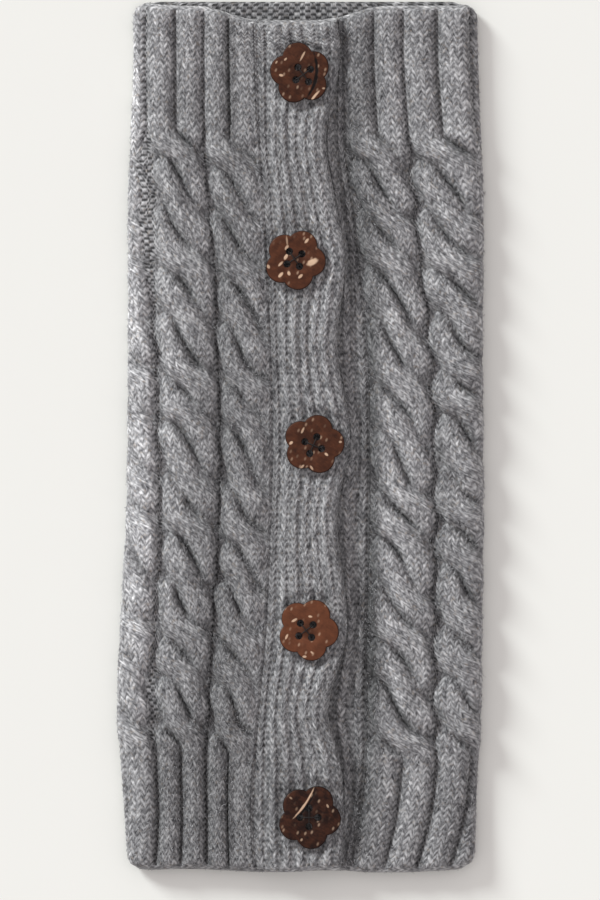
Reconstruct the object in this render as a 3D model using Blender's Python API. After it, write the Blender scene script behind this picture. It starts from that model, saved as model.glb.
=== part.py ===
"""Buttoned cable-knit leg warmer, laid flat with its button placket up.

Metres, +Z up. The mouth points along +Y, the underside rests on z = 0 and the centre line is x = 0.
"""

import math
from collections import namedtuple

import bmesh
import bpy

MM = 0.001

# Length, and the two layers of the flattened tube
LENGTH = 348 * MM
BACK_WALL = 3.4 * MM
LAYER_GAP = 0.4 * MM
GUTTER_WALL = 2.4 * MM
SEAM_GAP = 0.3 * MM

# Relief of the knitting over its gutters
STRAND_RISE = 2.6 * MM
CROSSING_LIFT = 1.5 * MM
CABLE_WIDTH = 24 * MM
STRAND_SHARE = 0.235
STRAND_HALF = 0.225
BAND_RIBS = 7
BAND_RIB_RISE = 0.7 * MM
BIND_OFF_RISE = 1.0 * MM
BIND_OFF_RUN = 4 * MM

# Folds at the two sides, and the rounded corners at the ends
FOLD_WIDTH = 7 * MM
FOLD_UNDER = 3 * MM
FOLD_MIDDLE = 3.2 * MM
FOLD_WALL = 3.4 * MM
FOLD_RELIEF_POWER = 3
CORNER_RADIUS = 7 * MM

# The front edge of the mouth dips below the back edge
MOUTH_DIP = 6 * MM
MOUTH_DIP_CENTRE = -4 * MM
MOUTH_DIP_HALF = 27 * MM
MOUTH_DIP_FADE = 24 * MM

# Placket: the buttonhole band laps over the button band
LAP_RAMP = 7 * MM
LAP_EDGE_ROUND = 1.6 * MM

# Where the folds, gutters, seams and lap lie, in millimetres across from the centre line
Section = namedtuple("Section", "down left gutter_a gutter_b left_seam lap right_seam gutter_c right")
SECTIONS = (
    Section(0, -67.8, -61.8, -39.0, -18.6, 14.6, 17.0, 40.6, 71.4),
    Section(23, -67.4, -61.8, -39.0, -18.2, 15.8, 17.0, 40.6, 71.8),
    Section(55, -68.4, -61.4, -38.6, -17.0, 10.2, 18.2, 43.0, 73.0),
    Section(79, -69.4, -61.0, -37.0, -15.4, 13.8, 21.0, 45.4, 73.8),
    Section(103, -69.4, -60.2, -34.6, -14.2, 17.8, 23.4, 47.8, 73.6),
    Section(139, -69.4, -57.8, -33.4, -12.6, 14.6, 27.0, 51.8, 73.2),
    Section(173, -69.6, -56.6, -31.8, -12.2, 19.8, 27.8, 53.0, 73.4),
    Section(207, -70.2, -56.2, -31.8, -12.6, 14.6, 27.8, 53.8, 73.6),
    Section(251, -72.6, -58.6, -35.8, -14.6, 18.6, 26.6, 53.4, 73.0),
    Section(283, -73.8, -59.4, -37.4, -17.4, 11.0, 26.6, 53.4, 72.6),
    Section(303, -72.8, -57.8, -37.8, -19.0, 15.8, 26.2, 54.2, 71.8),
    Section(325, -71.4, -57.4, -37.8, -19.8, 17.4, 23.8, 51.8, 70.8),
    Section(348, -70.6, -58.6, -37.8, -18.6, 16.2, 19.4, 45.8, 70.2),
)

# Each cable crosses over CROSSINGS times between two places, in millimetres below the mouth
Twist = namedtuple("Twist", "starts ends")
CROSSINGS = 12
LEFT_SIDE_CABLE = Twist(51.2, 297.2)
OUTER_LEFT_CABLE = Twist(50.8, 297.2)
INNER_LEFT_CABLE = Twist(54.4, 299.2)
INNER_RIGHT_CABLE = Twist(53.6, 302.4)
OUTER_RIGHT_CABLE = Twist(53.2, 299.2)

# Buttons: millimetres below the mouth and across, width, and the turns of the petals and holes in degrees
Button = namedtuple("Button", "down across width petal_turn hole_turn")
BUTTONS = (
    Button(29.0, -0.1, 25.0, 27, -9),
    Button(103.4, -2.1, 24.9, -7, -11),
    Button(176.9, 5.3, 24.7, 4, 22),
    Button(250.8, 3.1, 25.3, -8, -7),
    Button(325.5, 3.6, 26.1, -10, 45),
)
BUTTON_THICKNESS = 2.6 * MM
BUTTON_BEVEL = 0.5 * MM
PETALS = 5
PETAL_POINTS = 6
PETAL_REACH = 0.43
BUTTON_HOLE = 2.5 * MM
BUTTON_HOLE_SPACING = 5.1 * MM
BUTTON_HOLE_SIDES = 8

# How finely the shapes are divided
ROWS_PER_CROSSING = 6
CUFF_ROW = 9.5 * MM
BUTTONHOLE_BAND_ROW = 10 * MM
BUTTON_BAND_ROW = 17 * MM
COLUMNS_PER_CABLE = 8
LEFT_SIDE_COLUMNS = 6
RIGHT_SIDE_COLUMNS = 11
UNDER_COLUMNS = 3
COLUMNS_PER_RIB = 3
LAP_EDGE_COLUMNS = 3

FRONT_INSIDE = BACK_WALL + LAYER_GAP
FRONT_BASE = FRONT_INSIDE + GUTTER_WALL
BAND_UNDER_TOP = FRONT_BASE + BAND_RIB_RISE
BAND_OVER_INSIDE = BAND_UNDER_TOP + SEAM_GAP
BAND_OVER_TOP = BAND_OVER_INSIDE + GUTTER_WALL + BAND_RIB_RISE


def clear_scene():
    for item in list(bpy.data.objects):
        bpy.data.objects.remove(item, do_unlink=True)


def make_material(name, colour, roughness):
    material = bpy.data.materials.new(name)
    material.use_nodes = True
    shader = material.node_tree.nodes["Principled BSDF"]
    shader.inputs["Base Color"].default_value = (*colour, 1)
    shader.inputs["Roughness"].default_value = roughness
    shader.inputs["Metallic"].default_value = 0
    return material


def ease(share):
    """0 to 1 with a level start and end."""
    share = min(max(share, 0), 1)
    return share * share * (3 - 2 * share)


def section_at(down):
    """The section at a distance below the mouth, on a smooth curve through the rows of SECTIONS."""
    down /= MM
    last = len(SECTIONS) - 1
    row = next((i for i in range(last) if down <= SECTIONS[i + 1].down), last - 1)
    before, here = SECTIONS[max(row - 1, 0)], SECTIONS[row]
    after, beyond = SECTIONS[row + 1], SECTIONS[min(row + 2, last)]
    span = after.down - here.down
    share = (down - here.down) / span
    values = []
    for p, a, b, q in zip(before, here, after, beyond):
        leave = (b - p) / (after.down - before.down) * span
        arrive = (q - a) / (beyond.down - here.down) * span
        bend = (1 - share) * leave * share * (1 - share) - share * arrive * share * (1 - share)
        values.append((a + (b - a) * ease(share) + bend) * MM)
    return Section(*values)


def corner_inset(down):
    """How far the side folds draw in at the rounded corners."""
    from_end = min(down, LENGTH - down)
    if from_end >= CORNER_RADIUS:
        return 0
    return CORNER_RADIUS - math.sqrt(CORNER_RADIUS**2 - (CORNER_RADIUS - from_end) ** 2)


def place_along(x, down):
    """y of a point of the front layer, whose edge dips at the mouth."""
    dip = MOUTH_DIP * math.exp(-(((x - MOUTH_DIP_CENTRE) / MOUTH_DIP_HALF) ** 4))
    return LENGTH / 2 - down - dip * (1 - ease(down / MOUTH_DIP_FADE))


def end_fade(down):
    """0 at the bound-off edges, 1 where the ribs stand at full height."""
    return ease(min(down, LENGTH - down) / BIND_OFF_RUN)


def cable_relief(across, down, twist):
    """Height over the gutters of a two-strand cable, whose width across covers from 0 to 1.

    Before its first crossing and after its last the strands run straight, as the two ribs of a cuff.
    """
    share = (down / MM - twist.starts) / (twist.ends - twist.starts)
    turn = math.pi * CROSSINGS * min(max(share, 0), 1)
    swing, lift = STRAND_SHARE * math.cos(turn), CROSSING_LIFT * math.sin(turn)
    slant = 1 + 0.4 * abs(math.sin(turn))
    height = 0
    for centre, raised in ((0.5 - swing, lift), (0.5 + swing, -lift)):
        off = abs(across % 1 - centre) / (STRAND_HALF * slant)
        if off < 1:
            height = max(height, (STRAND_RISE + raised) * math.sqrt(1 - off * off))
    fade = end_fade(down)
    return height * fade + BIND_OFF_RISE * (1 - fade)


def cable_columns(start, stop, down, twist):
    """Outer and inner points across one cable between two gutters."""
    outer, inner = [], []
    for column in range(COLUMNS_PER_CABLE):
        share = column / COLUMNS_PER_CABLE
        x = start + (stop - start) * share
        y = place_along(x, down)
        across = share if stop > start else 1 - share
        outer.append((x, y, FRONT_BASE + cable_relief(across, down, twist)))
        inner.append((x, y, FRONT_INSIDE))
    return outer, inner


def fold_columns(gutter, edge, columns, down, twist):
    """Outer and inner points from the last gutter round a side fold and down to the floor."""
    side = math.copysign(1, edge - gutter)
    relief_at_edge = (STRAND_RISE + CROSSING_LIFT) * math.cos(math.pi / 4) ** FOLD_RELIEF_POWER
    turn_line = edge - side * (corner_inset(down) + relief_at_edge)
    inner_end = turn_line - side * FOLD_WALL
    outer, inner = [], []
    travelled, last = 0, (gutter, FRONT_BASE)
    for column in range(columns + UNDER_COLUMNS + 1):
        if column <= columns:
            reach = math.sin(math.pi / 2 * column / columns)
            x = gutter + (turn_line - gutter) * reach
            tilt = math.asin(max(0, 1 - abs(turn_line - x) / FOLD_WIDTH))
            z = FOLD_MIDDLE + (FRONT_BASE - FOLD_MIDDLE) * math.cos(tilt)
            partner = (gutter + (inner_end - gutter) * reach, FRONT_INSIDE)
        else:
            step = (column - columns) / UNDER_COLUMNS
            tilt = math.pi / 2 * (1 + step)
            x = turn_line - side * FOLD_UNDER * (1 - math.sin(tilt))
            z = FOLD_MIDDLE * (1 + math.cos(tilt))
            partner = (inner_end, FRONT_INSIDE - LAYER_GAP * step)
        travelled += math.hypot(x - last[0], z - last[1])
        last = (x, z)
        across = side * travelled / CABLE_WIDTH
        relief = cable_relief(across, down, twist) * max(0, math.cos(tilt / 2)) ** FOLD_RELIEF_POWER
        y = place_along(x, down)
        outer.append((x + side * relief * math.sin(tilt), y, max(0, z + relief * math.cos(tilt))))
        inner.append((partner[0], y, partner[1]))
    return outer, inner


def join_columns(*groups):
    outer = [point for group in groups for point in group[0]]
    inner = [point for group in groups for point in group[1]]
    return outer, inner


def reversed_columns(group):
    return group[0][::-1], group[1][::-1]


def seam_column(x, down):
    y = place_along(x, down)
    rise = BIND_OFF_RISE * (1 - end_fade(down))
    return [(x, y, FRONT_BASE + rise)], [(x, y, FRONT_INSIDE)]


def panel_row(down):
    """One row round the knitted panel, from the left seam over the left fold and the back to the right seam."""
    s = section_at(down)
    left_seam, right_seam = s.left_seam - SEAM_GAP / 2, s.right_seam + SEAM_GAP / 2
    left = join_columns(
        seam_column(left_seam, down),
        drop_first(cable_columns(left_seam, s.gutter_b, down, INNER_LEFT_CABLE)),
        cable_columns(s.gutter_b, s.gutter_a, down, OUTER_LEFT_CABLE),
        fold_columns(s.gutter_a, s.left, LEFT_SIDE_COLUMNS, down, LEFT_SIDE_CABLE),
    )
    right = join_columns(
        seam_column(right_seam, down),
        drop_first(cable_columns(right_seam, s.gutter_c, down, INNER_RIGHT_CABLE)),
        fold_columns(s.gutter_c, s.right, RIGHT_SIDE_COLUMNS, down, OUTER_RIGHT_CABLE),
    )
    return join_columns(left, reversed_columns(right))


def drop_first(group):
    return group[0][1:], group[1][1:]


def band_columns(start, stop, rounded_edge):
    """Places across a ribbed band, each with the band's thickness there."""
    ribbed = stop - LAP_EDGE_ROUND if rounded_edge else stop
    count = BAND_RIBS * COLUMNS_PER_RIB
    places = []
    for column in range(count + 1):
        rib = abs(math.sin(math.pi * column / COLUMNS_PER_RIB))
        places.append((start + (ribbed - start) * column / count, GUTTER_WALL + BAND_RIB_RISE * rib))
    if rounded_edge:
        for column in range(1, LAP_EDGE_COLUMNS + 1):
            turn = math.pi / 2 * column / LAP_EDGE_COLUMNS
            places.append((ribbed + LAP_EDGE_ROUND * math.sin(turn), GUTTER_WALL * (1 + math.cos(turn)) / 2))
    return places


def buttonhole_band_row(down):
    """One row across the upper band, which rises from the left seam on to the button band."""
    s = section_at(down)
    start, stop = s.left_seam + SEAM_GAP / 2, s.lap
    outer, inner = [], []
    for x, thickness in band_columns(start, stop, True):
        y = place_along(x, down)
        inside = FRONT_INSIDE + (BAND_OVER_INSIDE - FRONT_INSIDE) * ease((x - start) / LAP_RAMP)
        outer.append((x, y, inside + thickness))
        inner.append((x, y, inside))
    return outer, inner


def button_band_row(down):
    """One row across the lower band, which lies on the back layer and ends at the right seam."""
    s = section_at(down)
    start, stop = s.left_seam + LAP_RAMP + 2 * SEAM_GAP, s.right_seam - SEAM_GAP / 2
    outer, inner = [], []
    for x, thickness in band_columns(start, stop, False):
        y = place_along(x, down)
        outer.append((x, y, FRONT_INSIDE + thickness))
        inner.append((x, y, FRONT_INSIDE))
    return outer, inner


def spread_rows(step):
    """Places down the leg, a step apart, closer at the bound-off edges."""
    edge = [0, 0.2 * BIND_OFF_RUN, 0.5 * BIND_OFF_RUN, BIND_OFF_RUN, CORNER_RADIUS]
    plain = LENGTH - 2 * CORNER_RADIUS
    count = round(plain / step)
    middle = [CORNER_RADIUS + plain * k / count for k in range(1, count)]
    return edge + middle + [LENGTH - down for down in reversed(edge)]


def panel_rows():
    """Places down the panel: sparse in the cuffs, ROWS_PER_CROSSING for each crossing between them."""
    top, bottom = OUTER_LEFT_CABLE.starts * MM, INNER_RIGHT_CABLE.ends * MM
    count = CROSSINGS * ROWS_PER_CROSSING
    twisted = [top + (bottom - top) * k / count for k in range(count + 1)]
    cuffs = [down for down in spread_rows(CUFF_ROW) if not top - CUFF_ROW / 2 < down < bottom + CUFF_ROW / 2]
    return sorted(twisted + cuffs)


def make_wall(name, rows, material):
    """Close a solid between matched outer and inner points, row by row."""
    mesh = bmesh.new()
    outer = [[mesh.verts.new(point) for point in row[0]] for row in rows]
    inner = [[mesh.verts.new(point) for point in row[1]] for row in rows]
    last = len(outer[0]) - 1
    for r in range(len(rows) - 1):
        for c in range(last):
            mesh.faces.new((outer[r][c], outer[r + 1][c], outer[r + 1][c + 1], outer[r][c + 1]))
            mesh.faces.new((inner[r][c], inner[r][c + 1], inner[r + 1][c + 1], inner[r + 1][c]))
        for c in (0, last):
            mesh.faces.new((outer[r][c], inner[r][c], inner[r + 1][c], outer[r + 1][c]))
    for r in (0, len(rows) - 1):
        for c in range(last):
            mesh.faces.new((outer[r][c], outer[r][c + 1], inner[r][c + 1], inner[r][c]))
    bmesh.ops.recalc_face_normals(mesh, faces=mesh.faces)
    join_level_faces(mesh, inner)
    return finish_object(name, mesh, material)


def join_level_faces(mesh, inner):
    """Take out the lengthwise edges inside the plain faces, so that each row is one face there."""
    spare = []
    for r in range(len(inner) - 1):
        for c in range(1, len(inner[r]) - 1):
            near = [inner[k][c + side].co.z for k in (r, r + 1) for side in (-1, 0, 1)]
            if max(near) - min(near) < LAYER_GAP / 100:
                spare.append(mesh.edges.get((inner[r][c], inner[r + 1][c])))
    bmesh.ops.dissolve_edges(mesh, edges=spare, use_verts=True)


def finish_object(name, mesh, material):
    data = bpy.data.meshes.new(name)
    mesh.to_mesh(data)
    mesh.free()
    data.shade_smooth()
    data.set_sharp_from_angle(angle=math.radians(50))
    data.materials.append(material)
    item = bpy.data.objects.new(name, data)
    bpy.context.scene.collection.objects.link(item)
    return item


def petal_outline(radius):
    """Points round five round lobes."""
    lobe_centre = PETAL_REACH * radius
    lobe = radius - lobe_centre
    points = []
    for step in range(PETALS * PETAL_POINTS):
        angle = 2 * math.pi * step / (PETALS * PETAL_POINTS)
        half_petal = math.pi / PETALS
        off = (angle + half_petal) % (2 * half_petal) - half_petal
        reach = lobe_centre * math.cos(off) + math.sqrt(lobe**2 - (lobe_centre * math.sin(off)) ** 2)
        points.append((reach * math.cos(angle), reach * math.sin(angle)))
    return points


def make_button(name, button, material):
    """A five-petal button with a bevelled rim and four sewing holes, lying on the buttonhole band."""
    radius = button.width * MM / 2
    mesh = bmesh.new()
    base = mesh.faces.new([mesh.verts.new((x, y, 0)) for x, y in petal_outline(radius)])
    raised = bmesh.ops.extrude_face_region(mesh, geom=[base])["geom"]
    rim = [part for part in raised if isinstance(part, bmesh.types.BMVert)]
    bmesh.ops.translate(mesh, vec=(0, 0, BUTTON_THICKNESS), verts=rim)
    top = [part for part in raised if isinstance(part, bmesh.types.BMFace)]
    bmesh.ops.recalc_face_normals(mesh, faces=mesh.faces)
    rim_edges = [edge for face in top for edge in face.edges]
    bmesh.ops.bevel(mesh, geom=rim_edges, offset=BUTTON_BEVEL, segments=1, affect="EDGES", profile=0.5)
    item = finish_object(name, mesh, material)
    item.location = (button.across * MM, LENGTH / 2 - button.down * MM, BAND_OVER_TOP + SEAM_GAP)
    item.rotation_euler.z = math.radians(button.petal_turn)
    for k in range(4):
        add_button_hole(item, k, math.radians(button.hole_turn - button.petal_turn + 45 + 90 * k))
    return item


def add_button_hole(button, number, angle):
    """Cut one sewing hole with a hidden cutter that belongs to its button."""
    mesh = bmesh.new()
    bmesh.ops.create_cone(
        mesh,
        cap_ends=True,
        segments=BUTTON_HOLE_SIDES,
        radius1=BUTTON_HOLE / 2,
        radius2=BUTTON_HOLE / 2,
        depth=3 * BUTTON_THICKNESS,
    )
    data = bpy.data.meshes.new(f"{button.name}_hole_{number + 1}")
    mesh.to_mesh(data)
    mesh.free()
    cutter = bpy.data.objects.new(data.name, data)
    bpy.context.scene.collection.objects.link(cutter)
    cutter.parent = button
    reach = BUTTON_HOLE_SPACING / math.sqrt(2)
    cutter.location = (reach * math.cos(angle), reach * math.sin(angle), BUTTON_THICKNESS / 2)
    cutter.hide_render = True
    cutter.display_type = "WIRE"
    cut = button.modifiers.new(f"Hole {number + 1}", "BOOLEAN")
    cut.operation = "DIFFERENCE"
    cut.solver = "EXACT"
    cut.object = cutter


def main():
    clear_scene()
    wool = make_material("Heather grey wool", (0.235, 0.23, 0.235), 0.95)
    shell = make_material("Coconut shell", (0.11, 0.035, 0.02), 0.42)
    make_wall("knit_panel", [panel_row(down) for down in panel_rows()], wool)
    make_wall("button_band", [button_band_row(down) for down in spread_rows(BUTTON_BAND_ROW)], wool)
    make_wall("buttonhole_band", [buttonhole_band_row(down) for down in spread_rows(BUTTONHOLE_BAND_ROW)], wool)
    for number, button in enumerate(BUTTONS, 1):
        make_button(f"button_{number}", button, shell)


main()
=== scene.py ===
"""Looks of a buttoned cable-knit leg warmer that lies flat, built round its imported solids.

Every length is in metres. +Z is up, +Y runs along the leg towards the mouth.
"""

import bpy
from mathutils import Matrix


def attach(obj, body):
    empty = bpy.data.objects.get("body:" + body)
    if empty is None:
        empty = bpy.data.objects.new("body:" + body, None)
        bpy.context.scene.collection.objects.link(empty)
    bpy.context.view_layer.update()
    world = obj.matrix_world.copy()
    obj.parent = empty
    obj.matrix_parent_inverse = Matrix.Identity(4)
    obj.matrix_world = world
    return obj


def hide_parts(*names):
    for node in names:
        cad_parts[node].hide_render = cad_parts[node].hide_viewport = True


bl_info = {
    "name": "Cable-Knit Leg Warmer",
    "version": (1, 0, 0),
    "blender": (4, 5, 0),
    "location": "3D View > Sidebar > Leg Warmer",
    "description": "Builds a brushed cable-knit leg warmer with a buttoned placket",
    "category": "Object",
}

import math
from collections import namedtuple

import bmesh
import bpy
import numpy as np
from bpy.props import FloatProperty, FloatVectorProperty, IntProperty, PointerProperty
from mathutils import Vector

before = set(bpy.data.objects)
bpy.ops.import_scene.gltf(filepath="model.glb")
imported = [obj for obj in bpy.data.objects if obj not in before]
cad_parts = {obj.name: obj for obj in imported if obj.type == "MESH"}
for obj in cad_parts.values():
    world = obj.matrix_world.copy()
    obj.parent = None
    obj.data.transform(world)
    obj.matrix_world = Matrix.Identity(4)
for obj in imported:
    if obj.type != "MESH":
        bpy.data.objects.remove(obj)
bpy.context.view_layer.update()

MM = 0.001
BODY = "root"

# Length, layers and relief, as the solids have them
LENGTH = 348 * MM
BACK_WALL = 3.4 * MM
LAYER_GAP = 0.4 * MM
GUTTER_WALL = 2.4 * MM
SEAM_GAP = 0.3 * MM
STRAND_RISE = 2.6 * MM
BAND_RIB_RISE = 0.7 * MM
BIND_OFF_RISE = 1.0 * MM
BIND_OFF_RUN = 4 * MM
FRONT_INSIDE = BACK_WALL + LAYER_GAP
FRONT_BASE = FRONT_INSIDE + GUTTER_WALL
BAND_OVER_INSIDE = FRONT_BASE + BAND_RIB_RISE + SEAM_GAP
BAND_OVER_TOP = BAND_OVER_INSIDE + GUTTER_WALL + BAND_RIB_RISE

# Folds at the two sides, rounded corners, and the edges at the mouth and the hem
LEFT_FOLD = 11 * MM
RIGHT_FOLD = 6 * MM
FOLD_UNDER = 3 * MM
FOLD_MIDDLE = 3.2 * MM
FOLD_WALL = 3.4 * MM
FOLD_RELIEF_POWER = 3
SIDE_RELIEF = 3.2 * MM
CORNER_RADIUS = 7 * MM
CORNER_CLEAR = 2.5 * MM
MOUTH_DIP = 6 * MM
MOUTH_DIP_CENTRE = -4 * MM
MOUTH_DIP_HALF = 27 * MM
MOUTH_DIP_FADE = 24 * MM
MOUTH_STEP = 1.6 * MM
MOUTH_STEP_FADE = 22 * MM
MOUTH_SHOWS = 26 * MM
HEM_FADE = 30 * MM
EDGE_ROLL = 2.0 * MM

# Cables, the creases between their strands and the gutters beside them
SIDE_CABLE_WIDTH = 24 * MM
RIGHT_CABLE_WIDTH = 27.5 * MM
BACK_CABLES = 5
CROSSINGS = 12
CROSSING_LIFT = 2.3 * MM
STRAND_SQUARENESS = 2.2
OVERLAP = 0.32
CREASE_SHARE = 0.42
CREASE_BEND = 0.5
CREASE_UNEVEN = 0.1
NOTCH = 3.0 * MM
SCALLOP = 0.8 * MM
CUFF_LEAN = 2
CUFF_HOLLOW = 0.7
CABLE_LEAD = 6
CABLE_EASE = 14
SIDE_ROUND = 2.6 * MM
GUTTER_HALF = 0.45 * MM
GUTTER_DIP = 0.7 * MM
GUTTER_SHADE_RUN = 1.3 * MM
WIDE_GUTTER = 2.4 * MM
WIDE_FLOOR = 0.3 * MM
PRESSED_RELIEF = 0.3
INSIDE_RIB = 1.1 * MM

# Stitches, and the chain of the bound-off edges
CABLE_STITCHES = 8
STITCHES_APART = 8
LEG_SLANT = 0.95
PURL_BUMPS = 1.5
PURL_WITHOUT_NAP = 0.45
CHAIN_RUN = 2.4 * MM
RIM_STITCH_WIDTH = 2.8 * MM
RIM_STITCH_HEIGHT = 2.5 * MM
INSIDE_ROW = 9 * MM
HIDDEN_ROW = 6 * MM

# Bands of the placket: their ribs, the ramp and free edge of the upper one, how the strip of the lower
# one meets it, and how the cloth stands between and under the buttons
BAND_RIBS = 6
STRIP_RIBS = 3
STRIP_UNDER_LAP = 5 * MM
BAND_RIB_DEPTH = 0.8 * MM
KNIT_SHARE_OF_RIB = 0.56
RIB_SQUARENESS = 3.2
LAP_RAMP = 10.5 * MM
LAP_TURN = 3.4 * MM
LAP_RIDGE = 1.7 * MM
LAP_RIDGE_INSET = 5 * MM
LAP_RIDGE_HALF = 5.5 * MM
LAP_SHADE = 0.75
LAP_SHADE_REACH = 2.0 * MM
LAP_SINK = 0.3 * MM
LAP_SINK_REACH = 6 * MM
LAP_FILL = 1.4 * MM
LAP_FILL_REACH = 1.2 * MM
BAND_BULGE = 0.8 * MM
BULGE_REACH = 17 * MM
BUTTON_DIMPLE = 0.4 * MM
BUTTON_CLEARANCE = 4 * MM

# Seams: how high the cloth stands in them, and the painted shade on the slope that faces the key light beside
# them and each gutter
SEAM_FLOOR = 2.2 * MM
STRIP_SEAM_FLOOR = 0.3 * MM
STRIP_SEAM_DIP = 0.4 * MM
SEAM_LIFT = 1.4 * MM
SEAM_LIFT_REACH = 4 * MM
SEAM_JOIN = 1.2 * MM
SEAM_SHADE_REACH = 2.5 * MM
LEFT_SLOPE_SHADE = 0.5
LEFT_SLOPE_SHADE_RUN = 1.2 * MM
LEFT_SLOPE_SHADE_FADE = 2.8 * MM

# The flat layout for baking: how far in it begins, where the grids of a shell lie, and its rims beside them
BAKE_MARGIN = 0.01
BAKE_OUTER = (0.01, 0.80)
BAKE_INNER = (0.82, 0.90)
BAKE_FIRST_RIM = 0.915
BAKE_RIM_STEP = 0.021
BAKE_RIM_WIDTH = 0.014

# Loose hairs: seed of their places, height over the yarn at their roots and tips, and over the floor
NAP_SEED = 11
HAIR_ROOT_LIFT = 0.12 * MM
HAIR_TIP_LIFT = 0.1 * MM
HAIR_OVER_FLOOR = 0.05 * MM
SQUARE_CM_IN_SQUARE_M = 1e4

# Stage: half the side of the floor, where the key light shines to, and the camera
FLOOR_HALF = 6.0
SUN_DIRECTION = (0.65, -0.63, -0.36)
SENSOR_WIDTH_IN_MM = 36
CAMERA_ACROSS = -0.2 * MM
CAMERA_ALONG = -5.2 * MM
CAMERA_REACH = 20


def rows_of(columns, *rows):
    """A table whose columns have names."""
    return tuple(columns(*row) for row in rows)


# Where the folds, gutters, seams and lap lie, in millimetres across from the centre line
Section = namedtuple("Section", "down left gutter_a gutter_b left_seam lap right_seam gutter_c right")
SECTIONS = rows_of(
    Section,
    (0, -67.8, -61.8, -39.0, -18.6, 14.6, 17.0, 40.6, 71.4),
    (23, -67.4, -61.8, -39.0, -18.2, 15.8, 17.0, 40.6, 71.8),
    (55, -68.4, -61.4, -38.6, -17.0, 10.2, 18.2, 43.0, 73.0),
    (79, -69.4, -61.0, -37.0, -15.4, 13.8, 21.0, 45.4, 73.8),
    (103, -69.4, -60.2, -34.6, -14.2, 17.8, 23.4, 47.8, 73.6),
    (139, -69.4, -57.8, -33.4, -12.6, 14.6, 27.0, 51.8, 73.2),
    (173, -69.6, -56.8, -32.1, -12.2, 19.8, 27.8, 53.0, 73.4),
    (207, -70.2, -55.8, -32.5, -12.6, 14.6, 27.8, 53.8, 73.6),
    (251, -72.6, -58.3, -35.2, -14.6, 18.6, 26.6, 53.4, 73.0),
    (283, -73.8, -59.2, -36.6, -17.4, 11.0, 26.6, 53.4, 72.6),
    (303, -72.8, -57.8, -37.8, -19.0, 15.8, 26.2, 54.2, 71.8),
    (325, -71.4, -56.9, -37.6, -19.8, 17.4, 23.8, 51.8, 70.8),
    (348, -70.6, -58.1, -37.6, -18.6, 16.2, 19.4, 45.8, 70.2),
)

# How far the hem rises, in millimetres, at places across from the centre line
HemPoint = namedtuple("HemPoint", "across rise")
HEM = rows_of(
    HemPoint,
    (-70, 1.8), (-60, 1.0), (-44, 1.7), (-31, 0.9), (-18, 0.2), (-3, 0.3),
    (8, 1.2), (17, 0.9), (26, 0.0), (44, 0.1), (56, 0.7), (70, 1.8),
)

# Each cable crosses over CROSSINGS times. Its strands part in slits before, between and after the
# crossings: places in millimetres below the mouth. Lean is how many crossings a crease spans from side to
# side, slit_at and slit_half are the slits' mean place and half length across the cable from -1 to 1
Cable = namedtuple("Cable", "lean slit_at slit_half hollows")
LEFT_SIDE_CABLE = Cable(1.2, 0, 0.4, (51, 72, 93, 114, 135, 156, 176, 196, 217, 238, 258, 278, 298))
OUTER_LEFT_CABLE = Cable(1.2, -0.05, 0.36, (51, 71, 93, 115, 137, 158, 178, 200, 221, 242, 261, 279, 297))
INNER_LEFT_CABLE = Cable(1.15, 0.25, 0.62, (54, 75, 95, 118, 141, 159, 181, 203, 223, 242, 263, 281, 300))
INNER_RIGHT_CABLE = Cable(1.35, -0.1, 0.4, (53, 75, 93, 117, 141, 163, 185, 205, 224, 244, 263, 284, 302))
OUTER_RIGHT_CABLE = Cable(1.2, 0.1, 0.45, (53, 73, 95, 115, 137, 155, 175, 197, 217, 235, 259, 281, 299))
BACK_CABLE = Cable(1.2, 0, 0.42, (52, 72, 93, 114, 134, 155, 175, 196, 216, 237, 258, 278, 299))

# How far the purled gutter beside each outer cable stands open, from 0 to 1, at places below the mouth
LEFT_OPENING = (
    (50, 0), (64, 1), (82, 1), (104, 0.6), (126, 0.2), (190, 0.1), (262, 0.15), (276, 0.7), (302, 0),
)
RIGHT_OPENING = ((50, 0), (75, 0.2), (100, 0.05), (190, 0.1), (290, 0.1), (302, 0))

# Soft creases of the front: middle, length, width and depth in millimetres, turn in degrees
Crease = namedtuple("Crease", "across down length width turn depth")
CREASES = rows_of(
    Crease,
    (-47, 92, 26, 8, 62, -0.5),
    (-22, 64, 18, 7, 35, -0.5),
    (-64, 150, 30, 6, 84, -0.4),
    (-24, 205, 22, 8, 55, 0.5),
    (-48, 262, 24, 9, -58, -0.5),
    (22, 118, 34, 6, 86, -0.6),
    (33, 78, 18, 7, -48, -0.5),
    (61, 160, 28, 8, 70, 0.4),
    (24, 232, 36, 6, 92, -0.6),
    (44, 305, 20, 8, -64, -0.5),
    (-8, 138, 12, 7, 12, 0.5),
    (2, 214, 12, 7, -10, 0.5),
    (-4, 287, 13, 7, 8, 0.5),
    (-2, 66, 12, 7, -14, 0.4),
)

# Buttons: place, width and the holes' middle in millimetres, the turns of the petals and the holes in
# degrees, and how light the shell is, from 0 to 1
Button = namedtuple("Button", "down across width petal_turn hole_turn hole_x hole_y tone")
BUTTONS = rows_of(
    Button,
    (29.0, -0.1, 25.0, 27, -9, 1.2, -0.5, 0.34),
    (103.4, -2.1, 24.9, -7, -11, -0.3, 0.4, 0.48),
    (176.9, 5.3, 24.7, 4, 22, -0.2, -0.4, 0.40),
    (250.8, 3.1, 25.3, -8, -7, -0.9, -0.3, 0.80),
    (325.5, 3.6, 26.1, -10, 45, -0.2, -0.2, 0.12),
)
BUTTON_UNDERSIDE = BAND_OVER_TOP + SEAM_GAP
BUTTON_THICKNESS = 2.6 * MM
BUTTON_TOP = BUTTON_UNDERSIDE + BUTTON_THICKNESS
BUTTON_BEVEL = 0.7 * MM
BUTTON_FOOT = 0.4 * MM
BEVEL_STEPS = 5
PETALS = 5
PETAL_POINTS = 26
PETAL_REACH = 0.5
PETAL_UNEVEN = 0.018
BUTTON_HOLE = 2.8 * MM
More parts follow.
